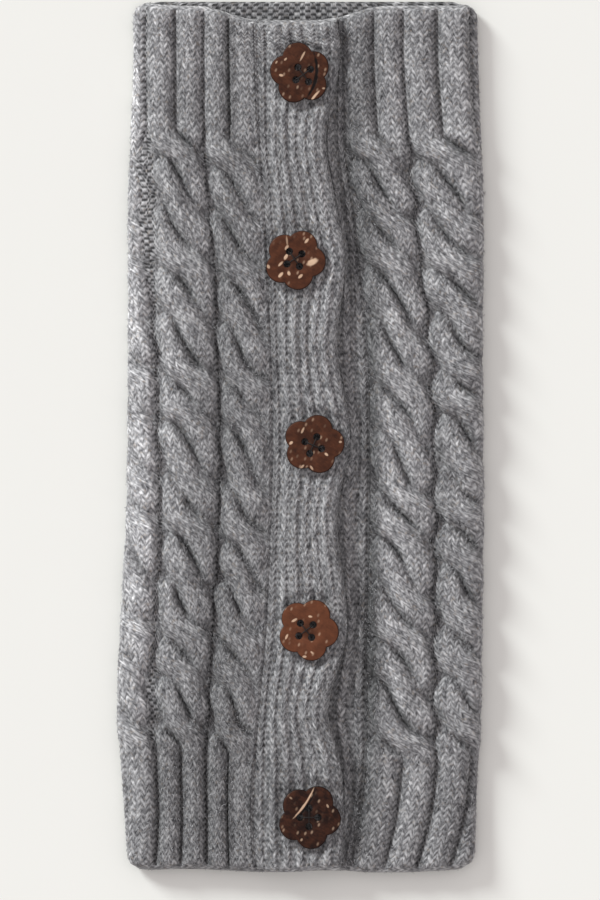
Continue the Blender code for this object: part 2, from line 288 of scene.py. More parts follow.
BUTTON_HOLE_SPACING = 5.1 * MM
HOLE_RIM = 0.25 * MM
HOLE_SIDES = 28
THREAD_WIDTH = 0.42 * MM
THREAD_SIDES = 10

# Pale flecks and dark cracks in the shell of each button: place and size in millimetres from its
# centre, turn in degrees, how far the middle is bent aside, and tone, which is negative for a crack
Mark = namedtuple("Mark", "button x y length width turn bend tone")
MARKS = rows_of(
    Mark,
    (1, 0.9, 6.8, 4.4, 0.8, 62, 0, 0.7), (1, 6.1, -8.8, 6.0, 1.1, 50, 0.2, 1.0),
    (1, -7.6, -0.8, 1.9, 1.1, -12, 0, 0.9), (1, -5.9, 5.6, 1.6, 0.9, 45, 0, 0.7),
    (1, -9.5, 4.4, 1.5, 0.8, 60, 0, 0.6), (1, 9.3, -6.0, 1.4, 0.9, 0, 0, 0.6),
    (1, 4.9, -1.0, 20.5, 1.5, 81, -2.9, -1.0),
    (2, -3.3, 7.6, 5.0, 0.8, 96, 0, 0.45), (2, -3.4, 4.9, 2.4, 1.4, 60, 0, 0.9),
    (2, -3.7, 1.1, 2.6, 1.3, 62, 0, 1.0), (2, -5.8, -1.5, 2.8, 1.1, 45, 0, 0.9),
    (2, 6.8, -0.9, 5.0, 2.6, 28, 0, 1.0), (2, 4.6, 7.6, 2.6, 1.2, 52, 0, 0.9),
    (2, -10.7, -2.7, 1.8, 1.2, -60, 0, 0.7), (2, -5.8, -6.0, 2.8, 1.3, 48, 0, 1.0),
    (2, -2.5, -5.4, 1.9, 1.3, -70, 0, 0.9), (2, 2.1, -6.5, 2.3, 1.1, 45, 0, 0.9),
    (3, -4.4, 5.6, 2.6, 0.9, 65, 0, 0.7), (3, -9.1, 0.5, 1.9, 1.2, 40, 0, 0.9),
    (3, 5.0, -4.0, 1.7, 1.0, -40, 0, 0.8), (3, -4.7, -9.0, 2.3, 0.9, 45, 0, 0.7),
    (3, -0.9, -9.4, 2.4, 0.9, -55, 0, 0.7), (3, 10.6, 0.9, 1.3, 1.1, 0, 0, 0.7),
    (4, -5.6, 3.7, 2.6, 1.0, 30, 0, 0.9), (4, 0.8, 5.2, 1.8, 1.0, -10, 0, 0.9),
    (4, -8.6, -2.8, 2.4, 0.9, 65, 0, 0.9), (4, -10.8, 0.4, 2.2, 0.8, 62, 0, 0.7),
    (4, -1.5, -10.8, 1.7, 1.0, 0, 0, 0.8), (4, 1.5, -9.2, 1.7, 0.9, -40, 0, 0.8),
    (5, -2.2, 5.1, 14.6, 0.95, 55.5, -0.7, 1.0), (5, -1.4, 4.3, 14.0, 0.9, 55.5, -0.7, -1.0),
    (5, 7.2, 4.4, 1.8, 0.9, -65, 0, 0.6), (5, -3.2, -9.1, 1.3, 0.9, 60, 0, 0.5),
    (5, -7.5, 7.6, 1.6, 0.9, -40, 0, 0.4),
)

# Painted light and shade: soft patches where the wool's colour is made a little lighter or darker as the
# light falls: middle and reach in millimetres, and by how much
Tint = namedtuple("Tint", "across down reach_x reach_y gain")
PAINTED_LIGHT_PATCHES = rows_of(
    Tint,
    (-60, 12, 26, 24, 0.26), (-68, 70, 11, 70, 0.36), (-68, 190, 9, 90, 0.34), (-71, 325, 4, 50, 0.30),
    (-51, 165, 7, 90, 0.17), (-36, 250, 14, 110, -0.12), (-36, 60, 16, 50, -0.08), (-42, 318, 38, 36, -0.28),
    (-9, 190, 9, 150, -0.12), (11, 130, 7, 70, 0.14), (29, 170, 5, 150, -0.22), (28, 285, 6, 60, -0.20),
    (8, 300, 12, 20, -0.10), (64, 325, 12, 26, -0.16), (39, 150, 7, 130, 0.18), (62, 60, 12, 60, 0.12),
    (60, 200, 8, 90, 0.06), (26, 290, 10, 60, -0.12), (-29, 120, 6, 90, -0.18), (-31, 262, 6, 40, -0.22),
    (56.5, 205, 4, 50, -0.15), (49, 200, 5, 110, 0.16), (-62.5, 240, 5, 100, 0.28), (23, 28, 5, 25, -0.32),
    (30, 180, 2.6, 95, -0.22), (20.5, 60, 4, 20, -0.42), (24.5, 92, 4, 22, -0.42), (27.5, 262, 3, 30, -0.32),
    (28.3, 190, 2.2, 90, -0.18), (22.5, 325, 3, 22, -0.3), (-56.6, 165, 5, 100, 0.15), (36, 230, 5, 90, 0.14),
    (-68.2, 40, 4, 24, 0.35), (-68.2, 318, 4, 22, 0.2), (-39, 22, 2.5, 25, 0.5), (40.6, 22, 2.5, 25, 0.4),
    (-39, 80, 5, 32, 0.25), (26, 325, 3.5, 20, -0.25),
)

# Each knitted piece as it was cut: its width, and what it lies on
Cut = namedtuple("Cut", "width rests_on")
CUTS = {
    "knit_back": Cut(134 * MM, ("floor",)),
    "knit_front_left": Cut(64 * MM, ("knit_back", "floor")),
    "knit_front_right": Cut(54 * MM, ("knit_back", "floor")),
    "knit_button_band": Cut(14 * MM, ("knit_back",)),
    "knit_buttonhole_band": Cut(37 * MM, ("knit_button_band", "knit_back")),
}

KnitGrid = namedtuple("KnitGrid", "points stitch hollow")
Block = namedtuple("Block", "points stitch relief hollow")
Weave = namedtuple("Weave", "height stitch relief hollow")


class KnitSettings(bpy.types.PropertyGroup):
    """Gauge, nap and colours of the knitting."""

    cell: FloatProperty(
        name="Cell", description="Size of the smallest faces of the knitting", default=0.5 * MM, unit="LENGTH"
    )
    row_height: FloatProperty(
        name="Row Height", description="Height of one row of stitches", default=2.56 * MM, unit="LENGTH"
    )
    chain_width: FloatProperty(
        name="Chain Width", description="Length of one bound-off chain stitch",
        default=2.8 * MM, unit="LENGTH"
    )
    stitch_depth: FloatProperty(
        name="Stitch Depth", description="How far the yarn stands over the gaps",
        default=0.48 * MM, unit="LENGTH"
    )
    nap_hairs: IntProperty(
        name="Nap Hairs", description="Loose hairs raised from each square centimetre", default=70, min=0
    )
    nap_length: FloatProperty(
        name="Nap Length", description="Mean length of a loose hair", default=1.0 * MM, unit="LENGTH"
    )
    nap_width: FloatProperty(
        name="Nap Width", description="Width of a loose hair", default=0.2 * MM, unit="LENGTH"
    )
    dark: FloatVectorProperty(
        name="Dark Wool", description="Charcoal hairs of the marl",
        default=(0.045, 0.044, 0.048), subtype="COLOR"
    )
    middle: FloatVectorProperty(
        name="Middle Wool", description="Middle grey of the marl",
        default=(0.255, 0.251, 0.261), subtype="COLOR"
    )
    light: FloatVectorProperty(
        name="Light Wool", description="Pale hairs of the marl", default=(0.66, 0.65, 0.66), subtype="COLOR"
    )
    warm: FloatVectorProperty(
        name="Warm Wool", description="Warm specks of the marl", default=(0.34, 0.29, 0.25), subtype="COLOR"
    )


class ButtonSettings(bpy.types.PropertyGroup):
    """Colours of the coconut-shell buttons."""

    shell_dark: FloatVectorProperty(
        name="Dark Shell", description="Darkest brown of the shell",
        default=(0.013, 0.0032, 0.0016), subtype="COLOR"
    )
    shell_light: FloatVectorProperty(
        name="Light Shell", description="Lightest brown of the shell",
        default=(0.145, 0.047, 0.021), subtype="COLOR"
    )
    fleck: FloatVectorProperty(
        name="Fleck", description="Pale flecks and veins in the shell",
        default=(0.66, 0.45, 0.31), subtype="COLOR"
    )
    thread: FloatVectorProperty(
        name="Thread", description="Sewing thread", default=(0.006, 0.0032, 0.003), subtype="COLOR"
    )


class StageSettings(bpy.types.PropertyGroup):
    """Floor, light and camera."""

    floor: FloatVectorProperty(
        name="Floor", description="Colour of the floor", default=(0.885, 0.877, 0.842), subtype="COLOR"
    )
    sun: FloatProperty(name="Sun", description="Strength of the key light", default=2.972, min=0)
    sun_colour: FloatVectorProperty(
        name="Sun Colour", description="Colour of the key light",
        default=(0.9425, 1, 0.994), subtype="COLOR"
    )
    sun_angle: FloatProperty(
        name="Sun Angle", description="How wide the key light looks",
        default=math.radians(18), subtype="ANGLE"
    )
    sky: FloatProperty(name="Sky", description="Strength of the even light", default=0.68, min=0)
    sky_colour: FloatVectorProperty(
        name="Sky Colour", description="Colour of the even light", default=(1, 0.9625, 0.968), subtype="COLOR"
    )
    distance: FloatProperty(
        name="Camera Height", description="Height of the camera over the floor", default=4, unit="LENGTH"
    )
    view_height: FloatProperty(
        name="View Height", description="Length along the leg that the picture shows",
        default=0.36, unit="LENGTH"
    )


class Value:
    """One number or vector socket of a shader, which Python's operators join into Math nodes."""

    def __init__(self, shader, socket):
        self.shader = shader
        self.socket = socket

    def maths(self, operation, *values):
        return self.shader.node("ShaderNodeMath", {"operation": operation}, dict(enumerate(values)))["Value"]

    def __add__(self, other):
        return self.maths("ADD", self, other)

    def __sub__(self, other):
        return self.maths("SUBTRACT", self, other)

    def __rsub__(self, other):
        return self.maths("SUBTRACT", other, self)

    def __mul__(self, other):
        return self.maths("MULTIPLY", self, other)

    def __truediv__(self, other):
        return self.maths("DIVIDE", self, other)

    def __pow__(self, other):
        return self.maths("POWER", self, other)

    def __abs__(self):
        return self.maths("ABSOLUTE", self)

    __radd__ = __add__
    __rmul__ = __mul__

    def fract(self):
        return self.maths("FRACT", self)

    def floor(self):
        return self.maths("FLOOR", self)

    def over(self, other):
        return self.maths("GREATER_THAN", self, other)

    def larger(self, other):
        return self.maths("MAXIMUM", self, other)

    def eased(self, low, high):
        """0 under low, 1 over high, with a soft step between."""
        values = {"Value": self, "From Min": low, "From Max": high}
        return self.shader.node("ShaderNodeMapRange", {"interpolation_type": "SMOOTHSTEP"}, values)["Result"]


class Outputs:
    """The outputs of one node by name or number, as values."""

    def __init__(self, shader, node):
        self.shader = shader
        self.node = node

    def __getitem__(self, name):
        return Value(self.shader, self.node.outputs[name])


class Shader:
    """A material whose nodes are made from Python expressions."""

    def __init__(self, name):
        self.material = bpy.data.materials.new(name)
        self.material.use_nodes = True
        self.tree = self.material.node_tree

    def node(self, kind, settings=None, values=None):
        """A new node of that type: its settings come first, then the values or links of its sockets."""
        made = self.tree.nodes.new(kind)
        for name, setting in (settings or {}).items():
            if name == "stops":
                self.set_stops(made.color_ramp, setting)
            else:
                setattr(made, name, setting)
        for name, value in (values or {}).items():
            self.feed(made.inputs[name], value)
        return Outputs(self, made)

    def feed(self, socket, value):
        if isinstance(value, Value):
            self.tree.links.new(value.socket, socket)
        elif socket.type == "RGBA":
            socket.default_value = (*value, 1)
        else:
            socket.default_value = value

    def set_stops(self, ramp, stops):
        while len(ramp.elements) < len(stops):
            ramp.elements.new(1)
        for element, (place, colour) in zip(ramp.elements, stops):
            element.position = place
            element.color = (*colour, 1)

    def mix(self, share, a, b):
        """Colour a where share is 0 and b where it is 1.

        The node's sockets for colours share their names with those for numbers, so they go by number.
        """
        factor, colour_a, colour_b, result = 0, 6, 7, 2
        values = {factor: share, colour_a: a, colour_b: b}
        return self.node("ShaderNodeMix", {"data_type": "RGBA"}, values)[result]

    def dim(self, colour, by):
        """A colour times a number."""
        return self.node("ShaderNodeVectorMath", {"operation": "SCALE"}, {0: colour, "Scale": by})["Vector"]

    def vector(self, x=0, y=0, z=0):
        return self.node("ShaderNodeCombineXYZ", None, {"X": x, "Y": y, "Z": z})["Vector"]

    def parts(self, vector):
        split = self.node("ShaderNodeSeparateXYZ", None, {"Vector": vector})
        return split["X"], split["Y"], split["Z"]

    def noise(self, vector, scale, detail=2.0, roughness=0.5):
        values = {"Vector": vector, "Scale": scale, "Detail": detail, "Roughness": roughness}
        return self.node("ShaderNodeTexNoise", None, values)["Fac"]

    def ramp(self, share, *stops):
        return self.node("ShaderNodeValToRGB", {"stops": stops}, {"Fac": share})["Color"]

    def bump(self, height, strength, distance):
        values = {"Height": height, "Strength": strength, "Distance": distance}
        return self.node("ShaderNodeBump", None, values)["Normal"]

    def place(self):
        """Coordinates in the piece's own frame, in metres."""
        return self.node("ShaderNodeTexCoord")["Object"]

    def attribute(self, name):
        return self.node("ShaderNodeAttribute", {"attribute_name": name})

    def finish(self, **sockets):
        """Feed the surface's sockets, whose names are written with underscores."""
        surface = self.tree.nodes["Principled BSDF"]
        for name, value in sockets.items():
            self.feed(surface.inputs[name.replace("_", " ")], value)
        return self.material


def ease(share):
    """0 to 1 with a level start and end."""
    share = np.clip(share, 0, 1)
    return share * share * (3 - 2 * share)


def shares(width, cell, first=0, last=1):
    """A row of numbers from first to last, a cell apart where the piece is widest."""
    return np.linspace(first, last, round(float(np.max(width)) / cell) + 1)[None, :]


def rows_down(cell, fine_until=LENGTH - EDGE_ROLL, coarse_cell=MM):
    """A column of places below the mouth, closer together where the bound-off edges roll over."""
    edge = EDGE_ROLL * (1 - np.cos(np.linspace(0, math.pi / 2, 6)[:-1]))
    fine = shares(fine_until - EDGE_ROLL, cell, EDGE_ROLL, fine_until)[0]
    coarse = shares(LENGTH - EDGE_ROLL - fine_until, coarse_cell, fine_until, LENGTH - EDGE_ROLL)[0, 1:]
    return np.concatenate((edge, fine, coarse, LENGTH - edge[::-1]))[:, None]


def sections_at(down):
    """The sections at places below the mouth, on smooth curves through the rows of SECTIONS."""
    table = np.array(SECTIONS)
    last = len(table) - 1
    mm = down / MM
    row = np.minimum(np.searchsorted(table[1:, 0], mm[:, 0]), last - 1)
    before, here, after, beyond = (table[np.clip(row + step, 0, last)] for step in (-1, 0, 1, 2))
    span = (after - here)[:, :1]
    share = (mm - here[:, :1]) / span
    leave = (after - before) / (after - before)[:, :1] * span
    arrive = (beyond - here) / (beyond - here)[:, :1] * span
    bend = ((1 - share) * leave - share * arrive) * share * (1 - share)
    return Section(*((here + (after - here) * ease(share) + bend) * MM).T[..., None])


def from_end(down):
    return np.minimum(down, LENGTH - down)


def corner_inset(down):
    """How far the side folds draw in at the rounded corners."""
    short = CORNER_RADIUS - np.minimum(from_end(down), CORNER_RADIUS)
    return CORNER_RADIUS - np.sqrt(CORNER_RADIUS**2 - short**2)


def place_back(x, down):
    """y of a point of the back, whose hem is pulled up unevenly."""
    table = np.array(HEM) * MM
    rise = np.interp(x, table[:, 0], table[:, 1]) * (1 - ease((LENGTH - down) / HEM_FADE))
    return LENGTH / 2 - down + rise


def place_along(x, down):
    """y of a point of the front layer, whose edge dips at the mouth and shows the back's edge."""
    dip = MOUTH_DIP * np.exp(-(((x - MOUTH_DIP_CENTRE) / MOUTH_DIP_HALF) ** 4))
    step = MOUTH_STEP * ease((x / MM + 66) / 16) * ease((69 - x / MM) / 8)
    fall = dip * (1 - ease(down / MOUTH_DIP_FADE)) + step * (1 - ease(down / MOUTH_STEP_FADE))
    return place_back(x, down) - fall


def end_fade(down):
    """0 at the bound-off edges, 1 where the ribs stand at full height."""
    return ease(from_end(down) / BIND_OFF_RUN)


def edge_round(down):
    """Share of the wall's thickness that is left as the bound-off edge rolls over."""
    short = 1 - np.minimum(from_end(down) / EDGE_ROLL, 1)
    return np.sqrt(np.maximum(1 - short**2, 0))


def wander(x, y, seed):
    """A slow uneven wave between about -1 and 1, so that no two ribs run alike."""
    first = np.sin(x / (9 * MM) + 1.7 * seed) * np.cos(y / (17 * MM) + 2.3 * seed)
    second = np.sin((x + 0.6 * y) / (13 * MM) + 4.1 * seed)
    third = np.cos((y - 0.4 * x) / (29 * MM) + 0.9 * seed)
    return (first + second + third) / 3


def crease_height(x, y):
    """Soft troughs and ridges of the front layer."""
    height = 0 * (x + y)
    for crease in CREASES:
        aside = x - crease.across * MM
        along = y - (LENGTH / 2 - crease.down * MM)
        turn = math.radians(crease.turn)
        run = aside * math.cos(turn) + along * math.sin(turn)
        off = along * math.cos(turn) - aside * math.sin(turn)
        reach = (run / (crease.length * MM)) ** 2 + (off / (crease.width * MM)) ** 2
        height += crease.depth * MM * np.exp(-reach)
    return height


def phase_across(across, down, cable, into=1):
    """Count of the slanting creases of a cable: it grows by one from each crease to the next."""
    crossing = np.interp(down / MM, cable.hollows, range(CROSSINGS + 1))
    lean = CUFF_LEAN + (cable.lean - CUFF_LEAN) * into
    uneven = CREASE_UNEVEN * into * np.sin(2.6 * crossing + 1.9 * across + 5 * cable.lean)
    return crossing - lean * (across + CREASE_BEND * into * np.sin(math.pi * across) / math.pi) / 2 + uneven


def cabled(down, cable):
    """0 in the cuffs, where the strands of a cable run straight as two ribs, 1 where they cross."""
    first, last = cable.hollows[0] - CABLE_LEAD, cable.hollows[-1] + CABLE_LEAD
    return ease((down / MM - first) / CABLE_EASE) * ease((last - down / MM) / CABLE_EASE)


def left_slope_shading(from_edge):
    """Painted shade, from 1 to 0, on the slope that faces the key light as a rib or cable rises from its left
    edge.
    """
    return 1 - ease((from_edge - LEFT_SLOPE_SHADE_RUN) / LEFT_SLOPE_SHADE_FADE)


def scalloped(gutter, down, left_cable, right_cable):
    """A gutter that the rounds of the strands on both sides push to and fro."""
    from_left = -np.cos(2 * math.pi * phase_across(1, down, left_cable)) * cabled(down, left_cable)
    from_right = -np.cos(2 * math.pi * phase_across(-1, down, right_cable)) * cabled(down, right_cable)
    return gutter + SCALLOP * (from_left - from_right) / 2


def corners_of(grid):
    """The four corners of each face of a grid of values, on its third axis."""
    return np.stack((grid[:-1, :-1], grid[1:, :-1], grid[1:, 1:], grid[:-1, 1:]), 2)


def knit_relief(columns, rows):
    """Height from 0 to 1 of the two slanting legs of knit stitches."""
    side = 2 * np.abs(columns % 1 - 0.5)
    leg = (rows - LEG_SLANT * (1 - side)) % 1
    return np.sin(math.pi * leg) * (0.4 + 0.6 * np.sin(math.pi * side))


def purl_relief(columns, rows):
    """Height from 0 to 1 of the interlocking bumps of purl stitches."""
    half = np.floor(PURL_BUMPS * columns) % 2
    bump = 0.5 + 0.5 * np.cos(2 * math.pi * (rows + half / 2))
    return bump * np.sqrt(np.abs(np.sin(PURL_BUMPS * math.pi * columns)))


def stitches_of(stitch, phase, purl, fields):
    """Stitch column, row and purl share at the corners of each face, and the relief at each point.

    All corners of a face are counted in one strand, so that no face spans a jump.
    """
    columns, rows = stitch(np.floor(phase), *fields)
    relief = knit_relief(columns, rows) * (1 - purl) + purl_relief(columns, rows) * purl
    strand = np.floor(corners_of(phase).mean(-1))[..., None]
    columns, rows = stitch(strand, *(corners_of(field) for field in fields))
    return np.stack((columns, rows, corners_of(purl)), -1), relief


def cable_weave(inside, down, cable, width, settings, left_open=0, right_open=0, seam=0):
    """Height over the base, stitches and painted shade of a cable, at shares across it and places down.

    The cable is sewn along its right edge if seam is above 0 and its left edge if it is below 0, and seam is
    the height that it keeps there.
    """
    into = cabled(down, cable)
    across = 2 * inside - 1

    # Each strand is a rounded ridge between two slanting creases, which part in a slit at their middle
    phase = phase_across(across, down, cable, into)
    strand = np.floor(phase)
    aside = 2 * (phase - strand) - 1
    profile = (np.abs(aside) * (1.09 - 0.06 * into)) ** STRAND_SQUARENESS
    profile = np.clip(1 - profile, 0, 1) ** (0.66 + 0.22 * into)
    crease = np.round(phase) + 7 * cable.lean
    slit_at = cable.slit_at + 0.12 * np.sin(1.7 * crease)
    slit_half = cable.slit_half * (1 + 0.25 * np.sin(3.1 * crease + 1))
    slit = (0.88 + 0.12 * np.sin(2.3 * crease)) * np.exp(-(((across - slit_at) / slit_half) ** 4))
    level = CREASE_SHARE * into * (1 - slit)
    centre = np.clip(1 - across**2, 0, 1)
    over = 1 - OVERLAP * into * np.clip(across, -0.9, 0.9) * aside
    crest = (STRAND_RISE + CROSSING_LIFT * into * centre) * over

    # The sides round down into the gutters, with a notch where two strands meet
    open_side = np.where(inside < 0.5, left_open, right_open)
    notch = NOTCH * into * (1 - profile)
    from_gutter = (0.5 - np.abs(inside - 0.5)) * width - GUTTER_HALF
    side_share = np.clip((from_gutter - notch) / (SIDE_ROUND * (1 + 0.5 * open_side)), 0, 1)
    height = crest * (level + (1 - level) * profile) * np.sqrt(1 - (1 - side_share) ** 2)
    gutter = 1 - ease((from_gutter + GUTTER_HALF) / GUTTER_HALF)
    valley = CUFF_HOLLOW * (1 - into) * (1 - ease(profile / 0.4))
    dip = GUTTER_DIP * np.maximum(gutter * (1 - open_side), valley)
    sewn = 1.0 * ((inside - 0.5) * seam > 0)
    height = np.maximum(height, WIDE_FLOOR * open_side + abs(seam) * sewn) - dip * (1 - sewn)
    fade = end_fade(down)
    height = height * fade + BIND_OFF_RISE * (1 - fade)

    # Painted shade: the wool's colour is darkened in gutters, creases and cuff valleys, where shade falls,
    # and on the slope that faces the key light where a strand rises from its left edge
    past_notch = from_gutter - 0.6 * notch
    gutter_shade = 1 - ease((past_notch + GUTTER_HALF) / (GUTTER_HALF + GUTTER_SHADE_RUN))
    gutter_dark = (0.42 + 0.1 * into + 0.35 * into * (1 - profile) - 0.1 * open_side) * (1 - sewn)
    crease_shade = into * (1 - ease(profile / 0.95)) * (0.5 + 0.85 * slit)
    crease_shade = crease_shade * (0.88 + 0.14 * np.sin(4.7 * crease))
    cuff_shade = CUFF_HOLLOW * (1 - into) * (1 - ease(profile))
    left_half = into * (inside < 0.5) * left_slope_shading(past_notch)
    painted_left_slope = LEFT_SLOPE_SHADE * np.maximum(left_half, (1 - into) * left_slope_shading((1 - aside) * width / 4))
    hollow = np.maximum.reduce((gutter_shade * gutter_dark, crease_shade, cuff_shade, painted_left_slope))

    purl = (1 - ease((from_gutter + 0.3 * GUTTER_HALF) / GUTTER_HALF)) * (1 - sewn)
    fields = phase_across(0, down, cable), CABLE_STITCHES * inside, down / settings.row_height
    fields = [field + 0 * phase for field in fields]

    def stitch(strand, crossing, place, rows):
        path = CABLE_STITCHES * (0.25 + 0.5 * ease((crossing - strand - 0.05) / 0.9))
        return STITCHES_APART * strand + place - path, rows

    return Weave(height, *stitches_of(stitch, phase, np.maximum(purl, valley), fields), hollow * fade)


def opening(down, table):
    """How far an outer gutter stands open."""
    return np.interp(down / MM, *zip(*table))


def cable_block(start, stop, down, cable, settings, left_open=0, right_open=0, seam=0):
    """The front layer between two gutters, from left to right."""
    whole = stop - start
    share = shares(whole, settings.cell)
    x = start + whole * share
    y = place_along(x, down)
    width = whole - WIDE_GUTTER * (left_open + right_open)
    inside = (share * whole - WIDE_GUTTER * left_open) / width
    inside = inside + 0.015 * wander(x, y, cable.hollows[5]) * np.sin(math.pi * share)
    height, *weave = cable_weave(inside, down, cable, width, settings, left_open, right_open, seam)
    return Block(np.stack((x, y, FRONT_BASE + height + crease_height(x, y)), -1), *weave)


def fold_curve(fold_width):
    """Tilt, reach inside the turn line, level and length run along the curve of a side fold."""
    tilt = np.linspace(0, math.pi, 801)
    upper = tilt <= math.pi / 2
    reach = np.where(upper, fold_width, FOLD_UNDER) * (1 - np.sin(tilt))
    over = FOLD_MIDDLE + (FRONT_BASE - FOLD_MIDDLE) * np.cos(tilt)
    level = np.where(upper, over, FOLD_MIDDLE * (1 + np.cos(tilt)))
    run = np.concatenate(([0], np.cumsum(np.hypot(np.diff(reach), np.diff(level)))))
    return tilt, reach, level, run


def turn_line_at(edge, side, down):
    """x of the line where a side fold stands upright, inside its outline by the relief there."""
    relief_at_edge = (STRAND_RISE + CROSSING_LIFT) * math.cos(math.pi / 4) ** FOLD_RELIEF_POWER
    return edge - side * (corner_inset(down) + relief_at_edge)


def corner_gutter(gutter, edge, side, down):
    """The last gutter, drawn in where the corner rounds past it."""
    limit = turn_line_at(edge, side, down) - side * CORNER_CLEAR
    return np.where(side * (gutter - limit) > 0, limit, gutter)


def fold_block(gutter, edge, down, cable, side, wide, settings):
    """The stretch from the last gutter round a side fold to the floor, in order of its distance."""
    fold_width, width = (LEFT_FOLD, SIDE_CABLE_WIDTH) if side < 0 else (RIGHT_FOLD, RIGHT_CABLE_WIDTH)
    tilts, reaches, levels, runs = fold_curve(fold_width)
    turn_line = turn_line_at(edge, side, down)
    away = side * (turn_line - gutter)
    flat = np.maximum(away - fold_width, 0)
    upper = tilts <= math.pi / 2
    begin = np.interp(-np.minimum(away, fold_width), -reaches[upper], runs[upper])
    whole = flat + runs[-1] - begin
    run = whole * shares(whole, settings.cell)
    on_curve = np.maximum(run - flat, 0) + begin
    tilt = np.interp(on_curve, runs, tilts) * (run > flat)
    level = np.where(run > flat, np.interp(on_curve, runs, levels), FRONT_BASE)
    x = turn_line - side * np.where(run > flat, np.interp(on_curve, runs, reaches), away - run)
    y = place_along(x, down)
    away_share = (run - WIDE_GUTTER * wide) / width
    away_share = np.where(away_share > 1, away_share - 1, away_share)
    inside, opened = (away_share, (wide, 0)) if side > 0 else (1 - away_share, (0, wide))
    height, *stitches, hollow = cable_weave(inside, down, cable, width, settings, *opened)
    flatter = (0.3 + 0.5 * cabled(down, cable)) * np.sin(tilt) ** 2
    relief = height * (1 - flatter) + SIDE_RELIEF * flatter * edge_round(down)
    relief = relief * np.maximum(np.cos(tilt / 2), 0) ** FOLD_RELIEF_POWER
    crease = crease_height(x, y) * np.maximum(np.cos(tilt), 0)
    points = np.stack((x + side * relief * np.sin(tilt), y, level + relief * np.cos(tilt) + crease), -1)
    return Block(points, *stitches, hollow * (1 - flatter))


def reversed_block(block):
    points, stitch, relief, hollow = (part[:, ::-1] for part in block)
    return Block(points, stitch[:, :, ::-1], relief, hollow)


def rib_places(start, stop, down, settings, ribs):
    """Points across a fine one-and-one ribbing between two edges, and their places counted in ribs."""
    share = shares(stop - start, settings.cell)
    x = start + (stop - start) * share
    y = place_along(x, down)
    return x, y, share * ribs + 0.05 * wander(x, y, 3)


def rib_weave(place, down, settings):
    """Height over the wall, stitches and painted shade of fine ribs at places counted in ribs."""
    rib = np.floor(place)
    off = np.abs(2 * (place - rib) - 1) / KNIT_SHARE_OF_RIB
    top = np.sqrt(np.clip(1 - off**RIB_SQUARENESS, 0, 1))
    deep = end_fade(down) * (0.8 + 0.5 * wander(rib * 31 * MM, down * 0.8, 5))
    height = BAND_RIB_RISE - BAND_RIB_DEPTH * (1 - top) * deep

    def stitch(rib, place, rows):
        return STITCHES_APART * rib + 400.5 + (place - rib - 0.5) / KNIT_SHARE_OF_RIB, rows

    fields = place, down / settings.row_height + 0 * place
    purl = 0.6 * (1 - ease(top / 0.5))
    # Painted shade in the valleys between the ribs
    return Weave(height, *stitches_of(stitch, place, purl, fields), 0.3 * (1 - top) * deep)


def clear_of_buttons(x, down):
    """0 under a button, 1 from a few millimetres outside its rim."""
    away = [np.hypot(x - b.across * MM, down - b.down * MM) - b.width * MM / 2 for b in BUTTONS]
    return ease(np.min(away, axis=0) / BUTTON_CLEARANCE)


def bulge(down):
    """How far the buttonhole band stands up between its buttons."""
    near = np.min([np.abs(down - button.down * MM) for button in BUTTONS], axis=0)
    return BAND_BULGE * (1 - np.exp(-((near / BULGE_REACH) ** 2))) * end_fade(down)


def band_inside(from_seam):
    """Level of the buttonhole band's inside, which climbs from its seam on to the button band."""
    return FRONT_INSIDE + (BAND_OVER_INSIDE - FRONT_INSIDE) * ease(from_seam / LAP_RAMP)


def buttonhole_block(down, settings):
    """Top of the upper band from the left seam to the lap, and round its free edge."""
    s = sections_at(down)
    start, stop = s.left_seam, s.lap - LAP_TURN
    x, y, place = rib_places(start, stop, down, settings, BAND_RIBS)
    turn = shares(math.pi * LAP_TURN, settings.cell, 0, math.pi)[:, 1:]
    round_edge = place[:, -1:] + turn * LAP_TURN * BAND_RIBS / (stop - start)
    weave = rib_weave(np.concatenate((place, round_edge), 1), down, settings)
    flat = np.s_[:, : x.shape[1]]
    fade = end_fade(down)
    clear = clear_of_buttons(x, down)
    from_seam = x - start
    rise = ease(from_seam / LAP_RAMP)
    joined = np.exp(-from_seam / SEAM_JOIN)
    height = weave.height[flat] + (BAND_RIB_RISE - weave.height[flat]) * joined
    ridge = LAP_RIDGE * np.exp(-(((s.lap - LAP_RIDGE_INSET - x) / LAP_RIDGE_HALF) ** 2)) * clear * fade
    soft = bulge(down) * rise * clear + crease_height(x, y) - BUTTON_DIMPLE * (1 - clear) * rise
    lift = SEAM_LIFT * np.exp(-from_seam / SEAM_LIFT_REACH) * fade
    z = band_inside(from_seam) + GUTTER_WALL + height + ridge + soft + lift
    edge_x = stop + LAP_TURN * np.sin(turn)
    edge_z = BAND_OVER_INSIDE + (z[:, -1:] - BAND_OVER_INSIDE) * (1 + np.cos(turn)) / 2
    edge = np.stack((edge_x, place_along(edge_x, down), edge_z), -1)
    points = np.concatenate((np.stack((x, y, z), -1), edge), 1)
    # Painted shade: the band's colour darkens towards its free edge, and on the slope that rises from the
    # seam
    shade = LAP_SHADE * np.exp((points[..., 0] - s.lap) / LAP_SHADE_REACH)
    weave.hollow[flat] = (weave.hollow[flat] + 1.4 * LEFT_SLOPE_SHADE * left_slope_shading(from_seam)) * (1 - joined)
    return Block(points, weave.stitch, weave.relief, np.maximum(weave.hollow, shade))


